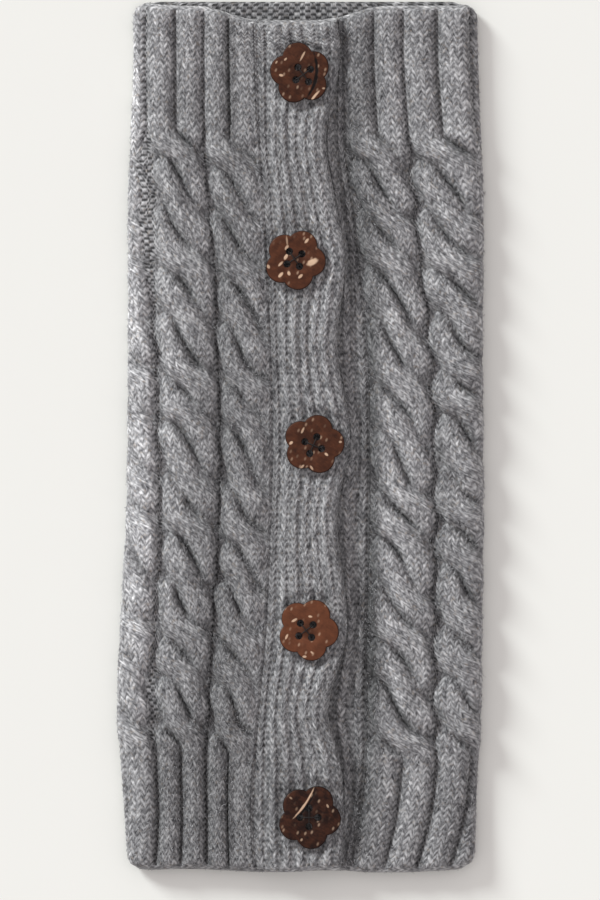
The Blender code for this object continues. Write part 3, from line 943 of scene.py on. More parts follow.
def button_band_block(down, settings):
    """Top of the lower band, from under the upper one to the right seam."""
    s = sections_at(down)
    start, stop = s.lap - STRIP_UNDER_LAP, s.right_seam
    x, y, place = rib_places(start, stop, down, settings, STRIP_RIBS)
    weave = rib_weave(place, down, settings)
    from_lap, from_seam = x - s.lap, stop - x
    joined = np.exp(-from_seam / SEAM_JOIN)
    height = weave.height + (BAND_RIB_RISE - STRIP_SEAM_DIP - weave.height) * joined
    sink = LAP_SINK * np.exp(-((from_lap / LAP_SINK_REACH) ** 2))
    fill = LAP_FILL * np.exp(-((from_lap / LAP_FILL_REACH) ** 2))
    z = FRONT_BASE + height + np.minimum(crease_height(x, y), 0) + (fill - sink) * end_fade(down)
    # Painted shade: the shadow that the upper band's lap casts, the shade in the seam, and a little all over
    lap_shadow = 0.5 * np.exp(-1.2 * np.maximum(from_lap, 0) / LAP_SINK_REACH)
    seam_shade = 0.55 * np.exp(-from_seam / SEAM_SHADE_REACH)
    hollow = np.clip(weave.hollow * (1 - joined) + lap_shadow + seam_shade + 0.08, 0, 1)
    return Block(np.stack((x, y, z), -1), weave.stitch, weave.relief, hollow)


def surface_normals(points):
    normals = np.cross(np.gradient(points, axis=0), np.gradient(points, axis=1))
    return normals / np.maximum(np.linalg.norm(normals, axis=-1, keepdims=True), 1e-12)


def knit_grid(blocks, down, inside, settings):
    """One grid of points from blocks that share their gutter columns, with stitches raised on it."""
    inner = [Block(b.points[:, :-1], b.stitch, b.relief[:, :-1], b.hollow[:, :-1]) for b in blocks[:-1]]
    points, stitch, relief, hollow = (np.concatenate(parts, 1) for parts in zip(*inner, blocks[-1]))
    end, thick = from_end(down), edge_round(down)
    x, y, z = np.moveaxis(points, -1, 0)
    column, row = end / CHAIN_RUN + 0 * x, x / settings.chain_width
    relief = np.where(end < CHAIN_RUN, knit_relief(np.clip(column, 0.001, 0.999), row), relief)
    on_chain = np.maximum(end[1:], end[:-1]) < CHAIN_RUN
    chains = corners_of(np.stack((column, row, 0 * row), -1))
    stitch = np.where(on_chain[..., None, None], chains, stitch)
    points = np.stack((x, y, inside + (z - inside) * thick), -1)
    raised = (relief - 0.55) * settings.stitch_depth * np.maximum(thick, 0.3)
    points = points + surface_normals(points) * raised[..., None]
    points[..., 2] = np.maximum(points[..., 2], 0)
    return KnitGrid(points, stitch, hollow)


def inside_grid(left, right, down, settings):
    """The hidden side of a front piece, as a coarse level grid, purl side out."""
    x = left + (right - left) * np.linspace(0, 1, 9)
    points = np.stack((x, place_along(x, down), FRONT_INSIDE + 0 * x), -1)
    columns, rows = x / settings.chain_width, points[..., 1] / settings.row_height
    # The hidden side carries half strength of painted shade
    return KnitGrid(points, corners_of(np.stack((columns, rows, 0 * x + 1), -1)), 0 * x + 0.5)


def zip_triangles(fine, coarse, turned):
    """Triangles between two rows of vertices that run side by side."""
    middles = (np.arange(len(fine) - 1) + 0.5) / (len(fine) - 1)
    partner = np.round(middles * (len(coarse) - 1)).astype(int)
    first = np.stack((fine[:-1], fine[1:], coarse[partner]), -1)
    switch = np.searchsorted(partner, np.arange(1, len(coarse)))
    second = np.stack((coarse[1:], coarse[:-1], fine[switch]), -1)
    triangles = np.concatenate((first, second))
    return triangles[:, ::-1] if turned else triangles


def knit_shell(name, outer, inner, settings):
    """A closed shell: a grid outside, a grid inside and rims that join their edges."""
    out_index = np.arange(outer.hollow.size).reshape(outer.hollow.shape)
    in_index = out_index.size + np.arange(inner.hollow.size).reshape(inner.hollow.shape)
    outside = corners_of(out_index).reshape(-1, 4)
    quads = np.concatenate((outside, corners_of(in_index).reshape(-1, 4)[:, ::-1]))
    rims = (
        zip_triangles(out_index[0], in_index[0], False),
        zip_triangles(out_index[-1], in_index[-1], True),
        zip_triangles(out_index[:, 0], in_index[:, 0], True),
        zip_triangles(out_index[:, -1], in_index[:, -1], False),
    )
    triangles = np.concatenate(rims)
    points = np.concatenate((outer.points.reshape(-1, 3), inner.points.reshape(-1, 3)))
    hollow = np.concatenate((outer.hollow.ravel(), inner.hollow.ravel()))
    x, _, z = points[triangles.ravel()].T
    rim_stitch = np.stack((x / RIM_STITCH_WIDTH, z / RIM_STITCH_HEIGHT, 0 * x), -1)
    inner_stitch = inner.stitch[:, :, ::-1].reshape(-1, 3)
    stitch = np.concatenate((outer.stitch.reshape(-1, 3), inner_stitch, rim_stitch))
    piece = new_piece(name, points, quads, triangles, wool(settings))
    corner = piece.data.attributes.new("stitch", "FLOAT_VECTOR", "CORNER")
    corner.data.foreach_set("vector", stitch.astype(np.float32).ravel())
    # Each point's painted shade, by which the wool's colour is darkened
    depth = piece.data.attributes.new("hollow", "FLOAT", "POINT")
    depth.data.foreach_set("value", hollow.astype(np.float32))
    piece["outer_faces"] = len(outside)
    add_bake_map(piece, out_index.shape, in_index.shape, rims)
    return piece


def add_bake_map(piece, shape_out, shape_in, rims):
    """A flat layout of the shell: the outer grid, the inner grid beside it, and the four rims."""

    def spread(shape, left, right):
        down = np.linspace(1 - BAKE_MARGIN, BAKE_MARGIN, shape[0])
        sides = np.meshgrid(np.linspace(left, right, shape[1]), down)
        return corners_of(np.stack(sides, -1)).reshape(-1, 4, 2)

    outside, inside = spread(shape_out, *BAKE_OUTER), spread(shape_in, *BAKE_INNER)
    parts = [outside.reshape(-1, 2), inside[:, ::-1].reshape(-1, 2)]
    for number, rim in enumerate(rims):
        left = BAKE_FIRST_RIM + BAKE_RIM_STEP * number
        across = np.where(rim < shape_out[0] * shape_out[1], left, left + BAKE_RIM_WIDTH)
        count = np.arange(len(rim))[:, None] / len(rim)
        along = BAKE_MARGIN + (1 - 2 * BAKE_MARGIN) * (count + 0 * across)
        parts.append(np.stack((across, along), -1).reshape(-1, 2))
    layer = piece.data.uv_layers.new(name="OFBake")
    layer.data.foreach_set("uv", np.concatenate(parts).astype(np.float32).ravel())


def new_piece(name, points, quads, triangles, *materials):
    """A smooth mesh object from arrays of points, quads and triangles."""
    data = bpy.data.meshes.new(name)
    corners = np.concatenate((quads.ravel(), triangles.ravel())).astype(np.int32)
    starts = np.concatenate((4 * np.arange(len(quads)), 4 * len(quads) + 3 * np.arange(len(triangles))))
    data.vertices.add(len(points))
    data.vertices.foreach_set("co", points.astype(np.float32).ravel())
    data.loops.add(len(corners))
    data.loops.foreach_set("vertex_index", corners)
    data.polygons.add(len(starts))
    data.polygons.foreach_set("loop_start", starts.astype(np.int32))
    data.update(calc_edges=True)
    data.validate()
    data.shade_smooth()
    return object_of(data, *materials)


def object_of(data, *materials):
    for material in materials:
        data.materials.append(material)
    piece = bpy.data.objects.new(data.name, data)
    bpy.context.scene.collection.objects.link(piece)
    return piece


def place_piece(piece, slot, *nodes):
    """Let a piece ride on the body and hide the solids that it stands for; its slot is not used."""
    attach(piece, BODY)
    if nodes:
        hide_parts(*nodes)
    return piece


def wool(settings):
    """The wool material, made once."""
    return bpy.data.materials.get("Heather grey wool") or wool_material(settings)


def wool_material(settings):
    """Brushed marl yarn: pale, middle and charcoal hairs, with painted shade between the stitches and in
    hollows, and painted light and shade in soft patches.
    """
    shader = Shader("Heather grey wool")
    column, row, purl = shader.parts(shader.attribute("stitch")["Vector"])
    hollow = shader.attribute("hollow")["Fac"]
    place = shader.place()
    side = abs(column.fract() - 0.5) * 2
    leg_row = row - LEG_SLANT * (1 - side)
    ridge = 1 - abs(leg_row.fract() * 2 - 1)
    knit_gap = 1 - ridge.eased(0.0, 0.75) * (side * (1 - side) * 4).eased(-0.5, 0.6)
    purl_row = (row + (column * PURL_BUMPS).floor() * 0.5).fract()
    purl_gap = 1 - abs(purl_row * 2 - 1).eased(0.1, 0.7)
    gap = knit_gap * (1 - purl) + purl_gap * purl
    strand = shader.vector(column.floor() + (column.fract().over(0.5)) * 0.5, leg_row.floor())
    leg_tone = shader.node("ShaderNodeTexWhiteNoise", {"noise_dimensions": "3D"}, {"Vector": strand})["Value"]
    fine = shader.noise(place, 680, 0.7)
    hairs = shader.noise(shader.vector(column * 2.6, leg_row * 3 + side * 2), 1.0, 0.2)
    broad = shader.noise(place, 160)
    tone = fine * 0.40 + hairs * 0.30 + leg_tone * 0.13 + broad * 0.14 + 0.03
    colour = shader.ramp(tone, (0.30, settings.dark), (0.48, settings.middle), (0.69, settings.light))
    warm = shader.noise(place, 700, 1.0).eased(0.60, 0.72)
    colour = shader.mix(warm * 0.5, colour, settings.warm)
    # Painted shade: the colour darkens in the gaps between the stitches and by each point's painted shade
    shade = (1 - gap * (0.42 + 0.36 * purl)) * (1 - hollow * 0.56)
    across, along, _ = shader.parts(place)
    # Painted light and shade in soft patches over the wool
    for tint in PAINTED_LIGHT_PATCHES:
        off_x = (across - tint.across * MM) / (tint.reach_x * MM)
        off_y = (along - LENGTH / 2 + tint.down * MM) / (tint.reach_y * MM)
        shade = shade * (1 + (1 - (off_x * off_x + off_y * off_y).eased(0.0, 1.8)) * tint.gain)
    return shader.finish(
        Base_Color=shader.dim(colour, shade),
        Normal=shader.bump(ridge * 0.6 + hairs * 0.5 + fine * 0.5, 0.10, 0.3 * MM),
        Roughness=0.92,
        Sheen_Weight=0.25,
        Sheen_Roughness=0.5,
        Specular_IOR_Level=0.2,
    )


def hair_material(name, colour):
    """A loose hair, a little lighter and darker from place to place."""
    shader = Shader(name)
    tone = shader.noise(shader.place(), 900, 1.0) * 0.8 + 0.6
    return shader.finish(Base_Color=shader.dim(colour, tone), Roughness=0.85, Specular_IOR_Level=0.2)


class LEGWARMER_OT_front(bpy.types.Operator):
    """Knit the two front pieces, with their cables and the folds at the sides"""

    bl_idname = "legwarmer.front"
    bl_label = "Knit Front"

    def execute(self, context):
        settings = context.scene.legwarmer_knit
        down, coarse = rows_down(settings.cell), rows_down(INSIDE_ROW)
        s, c = sections_at(down), sections_at(coarse)
        wide_a, wide_c = opening(down, LEFT_OPENING), opening(down, RIGHT_OPENING)
        gutter_a = scalloped(s.gutter_a, down, LEFT_SIDE_CABLE, OUTER_LEFT_CABLE)
        gutter_a = corner_gutter(gutter_a, s.left, -1, down)
        gutter_b = scalloped(s.gutter_b, down, OUTER_LEFT_CABLE, INNER_LEFT_CABLE)
        gutter_c = scalloped(s.gutter_c, down, INNER_RIGHT_CABLE, OUTER_RIGHT_CABLE)
        left = [
            reversed_block(fold_block(gutter_a, s.left, down, LEFT_SIDE_CABLE, -1, wide_a, settings)),
            cable_block(gutter_a, gutter_b, down, OUTER_LEFT_CABLE, settings, left_open=wide_a),
            cable_block(gutter_b, s.left_seam, down, INNER_LEFT_CABLE, settings, seam=SEAM_FLOOR),
        ]
        left[1].points[:, 0] = left[0].points[:, -1]
        right = [
            cable_block(
                s.right_seam, gutter_c, down, INNER_RIGHT_CABLE, settings,
                right_open=wide_c, seam=-STRIP_SEAM_FLOOR,
            ),
            fold_block(gutter_c, s.right, down, OUTER_RIGHT_CABLE, 1, wide_c, settings),
        ]
        left_end = turn_line_at(c.left, -1, coarse) + FOLD_WALL
        right_end = turn_line_at(c.right, 1, coarse) - FOLD_WALL
        for name, blocks, start, stop in (
            ("knit_front_left", left, left_end, c.left_seam),
            ("knit_front_right", right, c.right_seam, right_end),
        ):
            grid = knit_grid(blocks, down, FRONT_INSIDE, settings)
            inside = inside_grid(start, stop, coarse, settings)
            place_piece(knit_shell(name, grid, inside, settings), "wool", "knit_panel")
        return {"FINISHED"}


class LEGWARMER_OT_back(bpy.types.Operator):
    """Knit the back, whose cables are pressed flat on the floor and whose inside shows at the mouth"""

    bl_idname = "legwarmer.back"
    bl_label = "Knit Back"

    def execute(self, context):
        settings = context.scene.legwarmer_knit
        cell = 2 * settings.cell
        under = self.underside(rows_down(cell), cell, settings)
        down = rows_down(1.2 * settings.cell, MOUTH_SHOWS, HIDDEN_ROW)
        inside = self.inside(down, 1.5 * settings.cell, settings)
        place_piece(knit_shell("knit_back", under, inside, settings), "wool", "knit_panel")
        return {"FINISHED"}

    def places(self, down, cell):
        """Shares across the back from right to left, its width, and x and y of its points."""
        s = sections_at(down)
        left = turn_line_at(s.left, -1, down) + FOLD_UNDER
        width = turn_line_at(s.right, 1, down) - FOLD_UNDER - left
        share = shares(width, cell, 1, 0)
        x = left + width * share
        return share, width, x, place_back(x, down)

    def shaped(self, x, y, level, down):
        """Points of one side of the back, whose edges roll in to the middle of the wall."""
        middle = BACK_WALL / 2
        return np.stack((x, y, middle + (level - middle) * edge_round(down)), -1)

    def underside(self, down, cell, settings):
        share, width, x, y = self.places(down, cell)
        inside = np.clip(share, 0, 0.9999) * BACK_CABLES % 1
        weave = cable_weave(inside, down, BACK_CABLE, width / BACK_CABLES, settings)
        sunk = PRESSED_RELIEF * np.maximum(STRAND_RISE - weave.height, 0)
        level = sunk + 0.5 * settings.stitch_depth * (1 - weave.relief)
        return KnitGrid(self.shaped(x, y, level, down), weave.stitch, weave.hollow)

    def inside(self, down, cell, settings):
        share, _, x, y = self.places(down, cell)
        across = 2 * BACK_CABLES * share + 0 * x
        rib = np.abs(np.sin(math.pi * across)) ** 0.6
        columns, rows = 4 * across, down / settings.row_height + 0 * x
        level = BACK_WALL - INSIDE_RIB * rib + settings.stitch_depth * (purl_relief(columns, rows) - 1)
        stitch = corners_of(np.stack((columns, rows, 0 * x + 1), -1))
        # Painted shade in the valleys of the inner ribs, which show at the mouth
        return KnitGrid(self.shaped(x, y, level, down), stitch, 0.5 * rib)


class LEGWARMER_OT_bands(bpy.types.Operator):
    """Knit the buttonhole band and the button band under it"""

    bl_idname = "legwarmer.bands"
    bl_label = "Knit Bands"

    def execute(self, context):
        settings = context.scene.legwarmer_knit
        down, coarse = rows_down(settings.cell), rows_down(INSIDE_ROW)
        c = sections_at(coarse)
        block = buttonhole_block(down, settings)
        x = block.points[..., 0]
        grid = knit_grid([block], down, band_inside(x - x[:, :1]), settings)
        under = inside_grid(c.left_seam, c.lap - LAP_TURN, coarse, settings)
        under.points[..., 2] = band_inside(under.points[..., 0] - c.left_seam)
        place_piece(knit_shell("knit_buttonhole_band", grid, under, settings), "wool", "buttonhole_band")
        grid = knit_grid([button_band_block(down, settings)], down, FRONT_INSIDE, settings)
        under = inside_grid(c.lap - STRIP_UNDER_LAP, c.right_seam, coarse, settings)
        place_piece(knit_shell("knit_button_band", grid, under, settings), "wool", "button_band")
        return {"FINISHED"}


class LEGWARMER_OT_nap(bpy.types.Operator):
    """Raise the brushed nap: loose pale, grey and charcoal hairs that follow the yarn"""

    bl_idname = "legwarmer.nap"
    bl_label = "Raise Nap"

    def execute(self, context):
        settings = context.scene.legwarmer_knit
        light, middle, dark = (np.array(tint) for tint in (settings.light, settings.middle, settings.dark))
        shades = (
            hair_material("Pale wool hair", 0.3 * light + 0.7 * middle),
            hair_material("Grey wool hair", middle),
            hair_material("Charcoal wool hair", 0.3 * dark + 0.7 * middle),
        )
        random = np.random.default_rng(NAP_SEED)
        for name, cut in CUTS.items():
            piece = bpy.data.objects.get(name)
            if piece is None:
                raise RuntimeError(f"{name} has to be knitted before its nap is raised")
            nap = () if name == "knit_back" else (self.raise_hairs(piece, random, shades, settings),)
        return {"FINISHED"}

    def raise_hairs(self, piece, random, shades, settings):
        """Hairs of two faces each, which start at random places of the knit stitches and bend over them."""
        points, grain, normals, area = outer_faces(piece)
        count = int(area * SQUARE_CM_IN_SQUARE_M * settings.nap_hairs)
        chosen = random.integers(0, len(points), count)
        share = random.random((count, 2, 1))
        corners, normal, along = points[chosen], normals[chosen], grain[chosen]
        top = corners[:, 0] * (1 - share[:, 0]) + corners[:, 1] * share[:, 0]
        foot = corners[:, 3] * (1 - share[:, 0]) + corners[:, 2] * share[:, 0]
        root = top * (1 - share[:, 1]) + foot * share[:, 1]
        aside = np.cross(normal, along)
        sign = np.where(random.random((count, 1)) < 0.5, -1, 1)
        swing = random.normal(0, 0.3, (count, 1)) + 0.4 * np.where(random.random((count, 1)) < 0.5, -1, 1)
        heading = sign * (along * np.cos(swing) + aside * np.sin(swing))
        curl = np.cross(normal, heading) * random.normal(0, 0.35, (count, 1))
        length = settings.nap_length * np.clip(random.lognormal(-0.1, 0.45, (count, 1)), 0.35, 2.2)
        lift = np.clip(random.gamma(2.0, 0.07, (count, 1)), 0.02, 0.5) * MM
        width = settings.nap_width * random.uniform(0.6, 1.25, (count, 1))
        rings = []
        for step in (0, 0.55):
            height = (HAIR_ROOT_LIFT + lift * math.sin(math.pi * (step + 0.1))) * normal
            spine = root + heading * length * step + curl * length * step**2 + height
            blade = np.cross(normal, heading + 2 * curl * step) * width * (0.5 - 0.2 * step)
            rings += [spine - blade, spine + blade]
        tip = root + heading * length + curl * length + normal * (HAIR_TIP_LIFT + 0.3 * lift)
        hairs = np.stack((*rings, tip), 1)
        hairs[..., 2] = np.maximum(hairs[..., 2], HAIR_OVER_FLOOR)
        first = 5 * np.arange(count)[:, None]
        shade = random.choice(3, count, p=(0.45, 0.25, 0.3))
        name = piece.name.replace("knit", "nap")
        nap = new_piece(name, hairs.reshape(-1, 3), first + [0, 1, 3, 2], first + [2, 3, 4], *shades)
        nap.data.polygons.foreach_set("material_index", np.concatenate((shade, shade)).astype(np.int32))
        return place_piece(nap, "wool")


def outer_faces(piece):
    """Corners, grain, normals and whole area of a shell's outer faces that show knit stitches."""
    data = piece.data
    count = piece["outer_faces"]
    places = np.empty(3 * len(data.vertices))
    data.vertices.foreach_get("co", places)
    corners = np.empty(len(data.loops), int)
    data.loops.foreach_get("vertex_index", corners)
    stitch = np.empty(3 * len(data.loops))
    data.attributes["stitch"].data.foreach_get("vector", stitch)
    points = places.reshape(-1, 3)[corners[: 4 * count].reshape(-1, 4)]
    stitch = stitch.reshape(-1, 3)[: 4 * count].reshape(-1, 4, 3)
    down, across = points[:, 1] - points[:, 0], points[:, 3] - points[:, 0]
    column_down, column_across = stitch[:, 1, 0] - stitch[:, 0, 0], stitch[:, 3, 0] - stitch[:, 0, 0]
    column_across = np.where(np.abs(column_across) < 0.02, 0.02, column_across)
    grain = down + across * np.clip(-column_down / column_across, -2, 2)[:, None]
    normals = np.cross(down, across)
    area = np.linalg.norm(normals, axis=1)
    normals /= np.maximum(area, 1e-12)[:, None]
    grain /= np.maximum(np.linalg.norm(grain, axis=1, keepdims=True), 1e-12)
    knit = stitch[..., 2].mean(1) < PURL_WITHOUT_NAP
    return points[knit], grain[knit], normals[knit], float(area[knit].sum())


def shell_material(button, number, settings):
    """Polished coconut shell, mottled, with pale flecks and fine pores, darker on its rim and round its
    middle: the rim partly by its own darker edge and partly by painted shade, the middle by the painted
    shadow of the threads.
    """
    shader = Shader(f"Coconut shell {number}")
    x, y, z = shader.parts(shader.place())
    x = (x - button.across * MM) / MM
    y = (y - (LENGTH / 2 - button.down * MM)) / MM
    clouds = shader.noise(shader.vector(x, y, 7 * number), 0.35, 3.0, 0.6)
    grain = shader.noise(shader.vector(x * 0.6 + y * 0.9, (y * 0.6 - x * 0.9) * 0.25), 1.6, 3.0, 0.6)
    tone = clouds * 0.9 + grain * 0.4 - 0.65 + button.tone
    shell = shader.ramp(tone, (0.0, settings.shell_dark), (1.0, settings.shell_light))
    spread = shader.vector(x + 37 * number, (y - x * 0.5) * 0.75)
    values = {"Vector": spread, "Scale": 0.36, "Randomness": 1.0}
    cells = shader.node("ShaderNodeTexVoronoi", {"voronoi_dimensions": "2D"}, values)
    chosen = shader.parts(cells["Color"])[0]
    pale = (1 - cells["Distance"].eased(0.06, 0.26)) * chosen.eased(0.35, 1.0) * 0.38
    crack = 0 * pale
    for mark in (mark for mark in MARKS if mark.button == number):
        shape = mark_shape(mark, x, y, clouds)
        if mark.tone > 0:
            pale = pale.larger(shape * mark.tone)
        else:
            crack = crack.larger(shape * -mark.tone)
    colour = shader.mix(pale, shell, settings.fleck)
    colour = shader.mix(crack, colour, [0.25 * part for part in settings.shell_dark])
    # Below the top, on the bevel and down the hole walls, the colour darkens: partly the shell's own darker
    # edge, partly painted shade
    rim = ((BUTTON_TOP - z) / BUTTON_BEVEL).eased(0.0, 0.5)
    # Painted shadow of the crossed threads, darkening the colour round the button's middle
    from_middle = (x * x + y * y) ** 0.5
    colour = shader.dim(colour, (1 - rim * 0.85) * (0.62 + from_middle.eased(1.2, 4.6) * 0.38))
    normal = shader.bump(grain * 0.5 - crack * 2 + pale * 0.3, 0.5, 0.12 * MM)
    return shader.finish(
        Base_Color=colour, Normal=normal, Roughness=0.42 + clouds * 0.15, Specular_IOR_Level=0.18
    )


def mark_shape(mark, x, y, clouds):
    """1 inside a mark's bent oval, 0 outside, with an uneven edge."""
    turn = math.radians(mark.turn)
    x, y = x - mark.x, y - mark.y
    run = (x * math.cos(turn) + y * math.sin(turn)) / (mark.length / 2)
    aside = y * math.cos(turn) - x * math.sin(turn)
    if mark.bend:
        aside = aside + mark.bend * (run * run - 0.5)
    off = aside / (mark.width / 2)
    reach = run * run + off * off + (clouds - 0.5) * 1.6
    return 1 - reach.eased(0.3, 1.3)


def thread_material(settings):
    """Dark sewing thread, twisted from fine plies."""
    shader = Shader("Brown sewing thread")
    x, y, z = shader.parts(shader.place())
    twist = ((x + y) * 2600 + z * 1800).fract()
    colour = shader.dim(settings.thread, 0.7 + twist * 0.7)
    return shader.finish(Base_Color=colour, Normal=shader.bump(twist, 0.6, 0.1 * MM), Roughness=0.7)


def petal_outline(button, number):
    """Points of a hand-cut flower with PETALS round lobes, round the button's centre."""
    radius = button.width * MM / 2
    lobe_centre = PETAL_REACH * radius
    lobe = radius - lobe_centre
    angle = np.linspace(0, 2 * math.pi, PETAL_POINTS * PETALS, endpoint=False)
    off = (angle + math.pi / PETALS) % (2 * math.pi / PETALS) - math.pi / PETALS
    reach = lobe_centre * np.cos(off) + np.sqrt(lobe**2 - (lobe_centre * np.sin(off)) ** 2)
    reach = reach * (1 - PETAL_UNEVEN * (1 + np.sin(2 * angle + 1.7 * number)))
    x, y = reach * np.cos(angle), reach * np.sin(angle)
    turn = math.radians(button.petal_turn)
    across = x * math.cos(turn) - y * math.sin(turn)
    along = x * math.sin(turn) + y * math.cos(turn)
    return np.stack((across, along), -1)


def add_solid(mesh, rings):
    """Add a closed solid through rings of equal counts, the first and last filled."""
    count = len(rings[0])
    loops = [[mesh.verts.new(point) for point in ring] for ring in rings]
    for lower, upper in zip(loops, loops[1:]):
        for corner in range(count):
            after = (corner + 1) % count
            mesh.faces.new((lower[corner], lower[after], upper[after], upper[corner]))
    mesh.faces.new(loops[0][::-1])
    mesh.faces.new(loops[-1])


def solids_object(name, solids, *materials):
    """One object from solids, each given by its rings."""
    mesh = bmesh.new()
    for rings in solids:
        add_solid(mesh, rings)
    data = bpy.data.meshes.new(name)
    mesh.to_mesh(data)
    mesh.free()
    return object_of(data, *materials)


def circle(count):
    """Cosine and sine of evenly spaced angles."""
    angles = [2 * math.pi * side / count for side in range(count)]
    return [(math.cos(angle), math.sin(angle)) for angle in angles]


def middle_of(button):
    return button.across * MM, LENGTH / 2 - button.down * MM


def hole_places(button):
    """The four thread holes across the model, in order round the button."""
    x, y = middle_of(button)
    middle = Vector((x + button.hole_x * MM, y + button.hole_y * MM))
    reach = BUTTON_HOLE_SPACING / math.sqrt(2)
    angles = [math.radians(button.hole_turn + 45 + 90 * quarter) for quarter in range(4)]
    return [middle + reach * Vector((math.cos(angle), math.sin(angle))) for angle in angles]


def thread_rings(path, radius):
    """Rings of a round tube along a path that stays in one upright plane."""
    across = (path[-1] - path[0]).cross(Vector((0, 0, 1))).normalized()
    rings = []
    for index, point in enumerate(path):
        along = (path[min(index + 1, len(path) - 1)] - path[max(index - 1, 0)]).normalized()
        up = across.cross(along)
        rings.append([point + radius * (across * cos + up * sin) for cos, sin in circle(THREAD_SIDES)])
    return rings


class LEGWARMER_OT_buttons(bpy.types.Operator):
    """Turn the five flower-shaped buttons from coconut shell and sew them on"""

    bl_idname = "legwarmer.buttons"
    bl_label = "Sew On Buttons"

    def execute(self, context):
        settings = context.scene.legwarmer_buttons
        thread = thread_material(settings)
        for number, button in enumerate(BUTTONS, 1):
            piece = self.turn_button(button, number, shell_material(button, number, settings))
            place_piece(piece, "shell", f"button_{number}")
            place_piece(self.sew(button, number, thread), "wool")
        return {"FINISHED"}

    def turn_button(self, button, number, material):
        """A flower with a bevelled rim and four drilled holes."""
        x, y = middle_of(button)
        profile = [(BUTTON_FOOT, 0), (0, BUTTON_FOOT)]
        for step in range(BEVEL_STEPS + 1):
            angle = math.pi / 2 * step / BEVEL_STEPS
            rise = BUTTON_THICKNESS - BUTTON_BEVEL * (1 - math.sin(angle))
            profile.append((BUTTON_BEVEL * (1 - math.cos(angle)), rise))
        outline = petal_outline(button, number)
        rings = []
        for inset, rise in profile:
            scale = 1 - inset / (button.width * MM / 2)
            level = BUTTON_UNDERSIDE + rise
            rings.append([(x + scale * a, y + scale * b, level) for a, b in outline])
        piece = solids_object(f"shell_button_{number}", [rings], material)
        cutter = self.hole_cutter(button)
        cut = piece.modifiers.new("holes", "BOOLEAN")
        cut.operation = "DIFFERENCE"
        cut.solver = "EXACT"
        cut.object = cutter
        depsgraph = bpy.context.evaluated_depsgraph_get()
        drilled = bpy.data.meshes.new_from_object(piece.evaluated_get(depsgraph))
        piece.modifiers.clear()
        piece.data = drilled
        bpy.data.objects.remove(cutter)
        drilled.shade_smooth()
        drilled.set_sharp_from_angle(angle=math.radians(38))
        return piece

    def hole_cutter(self, button):
        """Four drills whose tips flare at the button's top, for softened rims."""
        radius = BUTTON_HOLE / 2
        profile = (
            (radius, BUTTON_UNDERSIDE - MM),
            (radius, BUTTON_TOP - HOLE_RIM),
            (radius + 0.3 * HOLE_RIM, BUTTON_TOP - 0.3 * HOLE_RIM),
            (radius + HOLE_RIM, BUTTON_TOP),
            (radius + HOLE_RIM, BUTTON_TOP + MM),
        )
        round_hole = circle(HOLE_SIDES)
        drills = [
            [[(hole.x + r * cos, hole.y + r * sin, level) for cos, sin in round_hole] for r, level in profile]
            for hole in hole_places(button)
        ]
        return solids_object("drills", drills)

    def sew(self, button, number, material):
        """Two crossed threads that rise from one hole, lie over the button and sink in the one across."""
        holes = hole_places(button)
        threads = []
        for pass_number, (start, stop) in enumerate((holes[::2], holes[1::2])):
            half = [
                (-0.02, -2.2 * MM),
                (0.0, -1.2 * MM),
                (0.07, -0.35 * MM),
                (0.17, 0.3 * THREAD_WIDTH),
                (0.33, 0.4 * THREAD_WIDTH),
            ]
            crest = (0.5, THREAD_WIDTH * (0.45 + 0.75 * pass_number))
            path = [*half, crest, *((1 - share, rise) for share, rise in reversed(half))]
            points = [Vector((*start.lerp(stop, share), BUTTON_TOP + rise)) for share, rise in path]
            threads.append(thread_rings(points, THREAD_WIDTH / 2))
        piece = solids_object(f"button_thread_{number}", threads, material)
        piece.data.shade_smooth()
        return piece


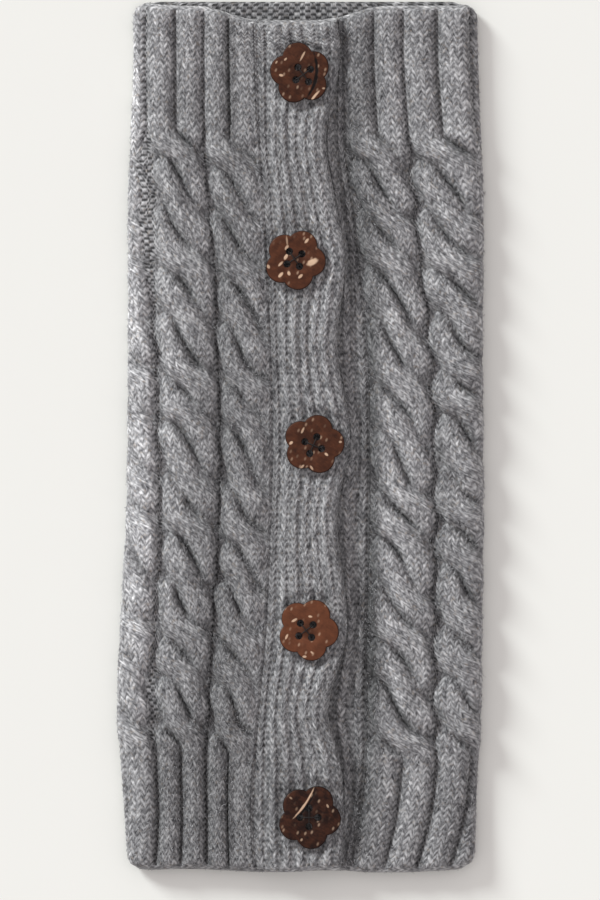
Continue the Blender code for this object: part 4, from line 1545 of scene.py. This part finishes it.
class LEGWARMER_OT_stage(bpy.types.Operator):
    """Set the pale floor, the soft light and the camera straight above"""

    bl_idname = "legwarmer.stage"
    bl_label = "Set Stage"

    def execute(self, context):
        settings = context.scene.legwarmer_stage
        scene = context.scene
        scene.view_settings.view_transform = "Standard"
        shader = Shader("Pale floor")
        tint = shader.dim(settings.floor, 0.996 + shader.noise(shader.place(), 40) * 0.008)
        material = shader.finish(Base_Color=tint, Roughness=0.9, Specular_IOR_Level=0.0)
        corners = FLOOR_HALF * np.array([(-1, -1, 0), (1, -1, 0), (1, 1, 0), (-1, 1, 0)])
        floor = new_piece("floor", corners, np.array([[0, 1, 2, 3]]), np.empty((0, 3), int), material)
        self.light(scene, settings)
        self.camera(scene, settings)
        return {"FINISHED"}

    def light(self, scene, settings):
        world = bpy.data.worlds.new("Soft studio")
        world.use_nodes = True
        sky = world.node_tree.nodes["Background"]
        sky.inputs["Color"].default_value = (*settings.sky_colour, 1)
        sky.inputs["Strength"].default_value = settings.sky
        scene.world = world
        data = bpy.data.lights.new("key", "SUN")
        data.energy = settings.sun
        data.color = settings.sun_colour
        data.angle = settings.sun_angle
        key = bpy.data.objects.new("key", data)
        key.rotation_euler = Vector(SUN_DIRECTION).to_track_quat("-Z", "Y").to_euler()
        scene.collection.objects.link(key)

    def camera(self, scene, settings):
        data = bpy.data.cameras.new("camera")
        data.sensor_width = SENSOR_WIDTH_IN_MM
        data.lens = data.sensor_width * settings.distance / settings.view_height
        data.clip_end = CAMERA_REACH
        camera = bpy.data.objects.new("camera", data)
        camera.location = (CAMERA_ACROSS, CAMERA_ALONG, settings.distance)
        scene.collection.objects.link(camera)
        scene.camera = camera


SETTINGS = {
    "legwarmer_knit": KnitSettings,
    "legwarmer_buttons": ButtonSettings,
    "legwarmer_stage": StageSettings,
}
STEPS = (
    LEGWARMER_OT_front,
    LEGWARMER_OT_back,
    LEGWARMER_OT_bands,
    LEGWARMER_OT_nap,
    LEGWARMER_OT_buttons,
    LEGWARMER_OT_stage,
)


class LEGWARMER_PT_sidebar(bpy.types.Panel):
    """The settings, and the steps that build the leg warmer in order"""

    bl_idname = "LEGWARMER_PT_sidebar"
    bl_label = "Leg Warmer"
    bl_space_type = "VIEW_3D"
    bl_region_type = "UI"
    bl_category = "Leg Warmer"

    def draw(self, context):
        for group in SETTINGS:
            settings = getattr(context.scene, group)
            box = self.layout.box()
            for name in settings.__annotations__:
                box.prop(settings, name)
        for step in STEPS:
            self.layout.operator(step.bl_idname)


CLASSES = (*SETTINGS.values(), *STEPS, LEGWARMER_PT_sidebar)


def register():
    for kind in CLASSES:
        bpy.utils.register_class(kind)
    for name, kind in SETTINGS.items():
        setattr(bpy.types.Scene, name, PointerProperty(type=kind))


def unregister():
    for name in SETTINGS:
        delattr(bpy.types.Scene, name)
    for kind in reversed(CLASSES):
        bpy.utils.unregister_class(kind)


def main():
    register()
    bpy.ops.legwarmer.front()
    bpy.ops.legwarmer.back()
    bpy.ops.legwarmer.bands()
    bpy.ops.legwarmer.nap()
    bpy.ops.legwarmer.buttons()
    bpy.ops.legwarmer.stage()


if __name__ == "__main__":
    main()
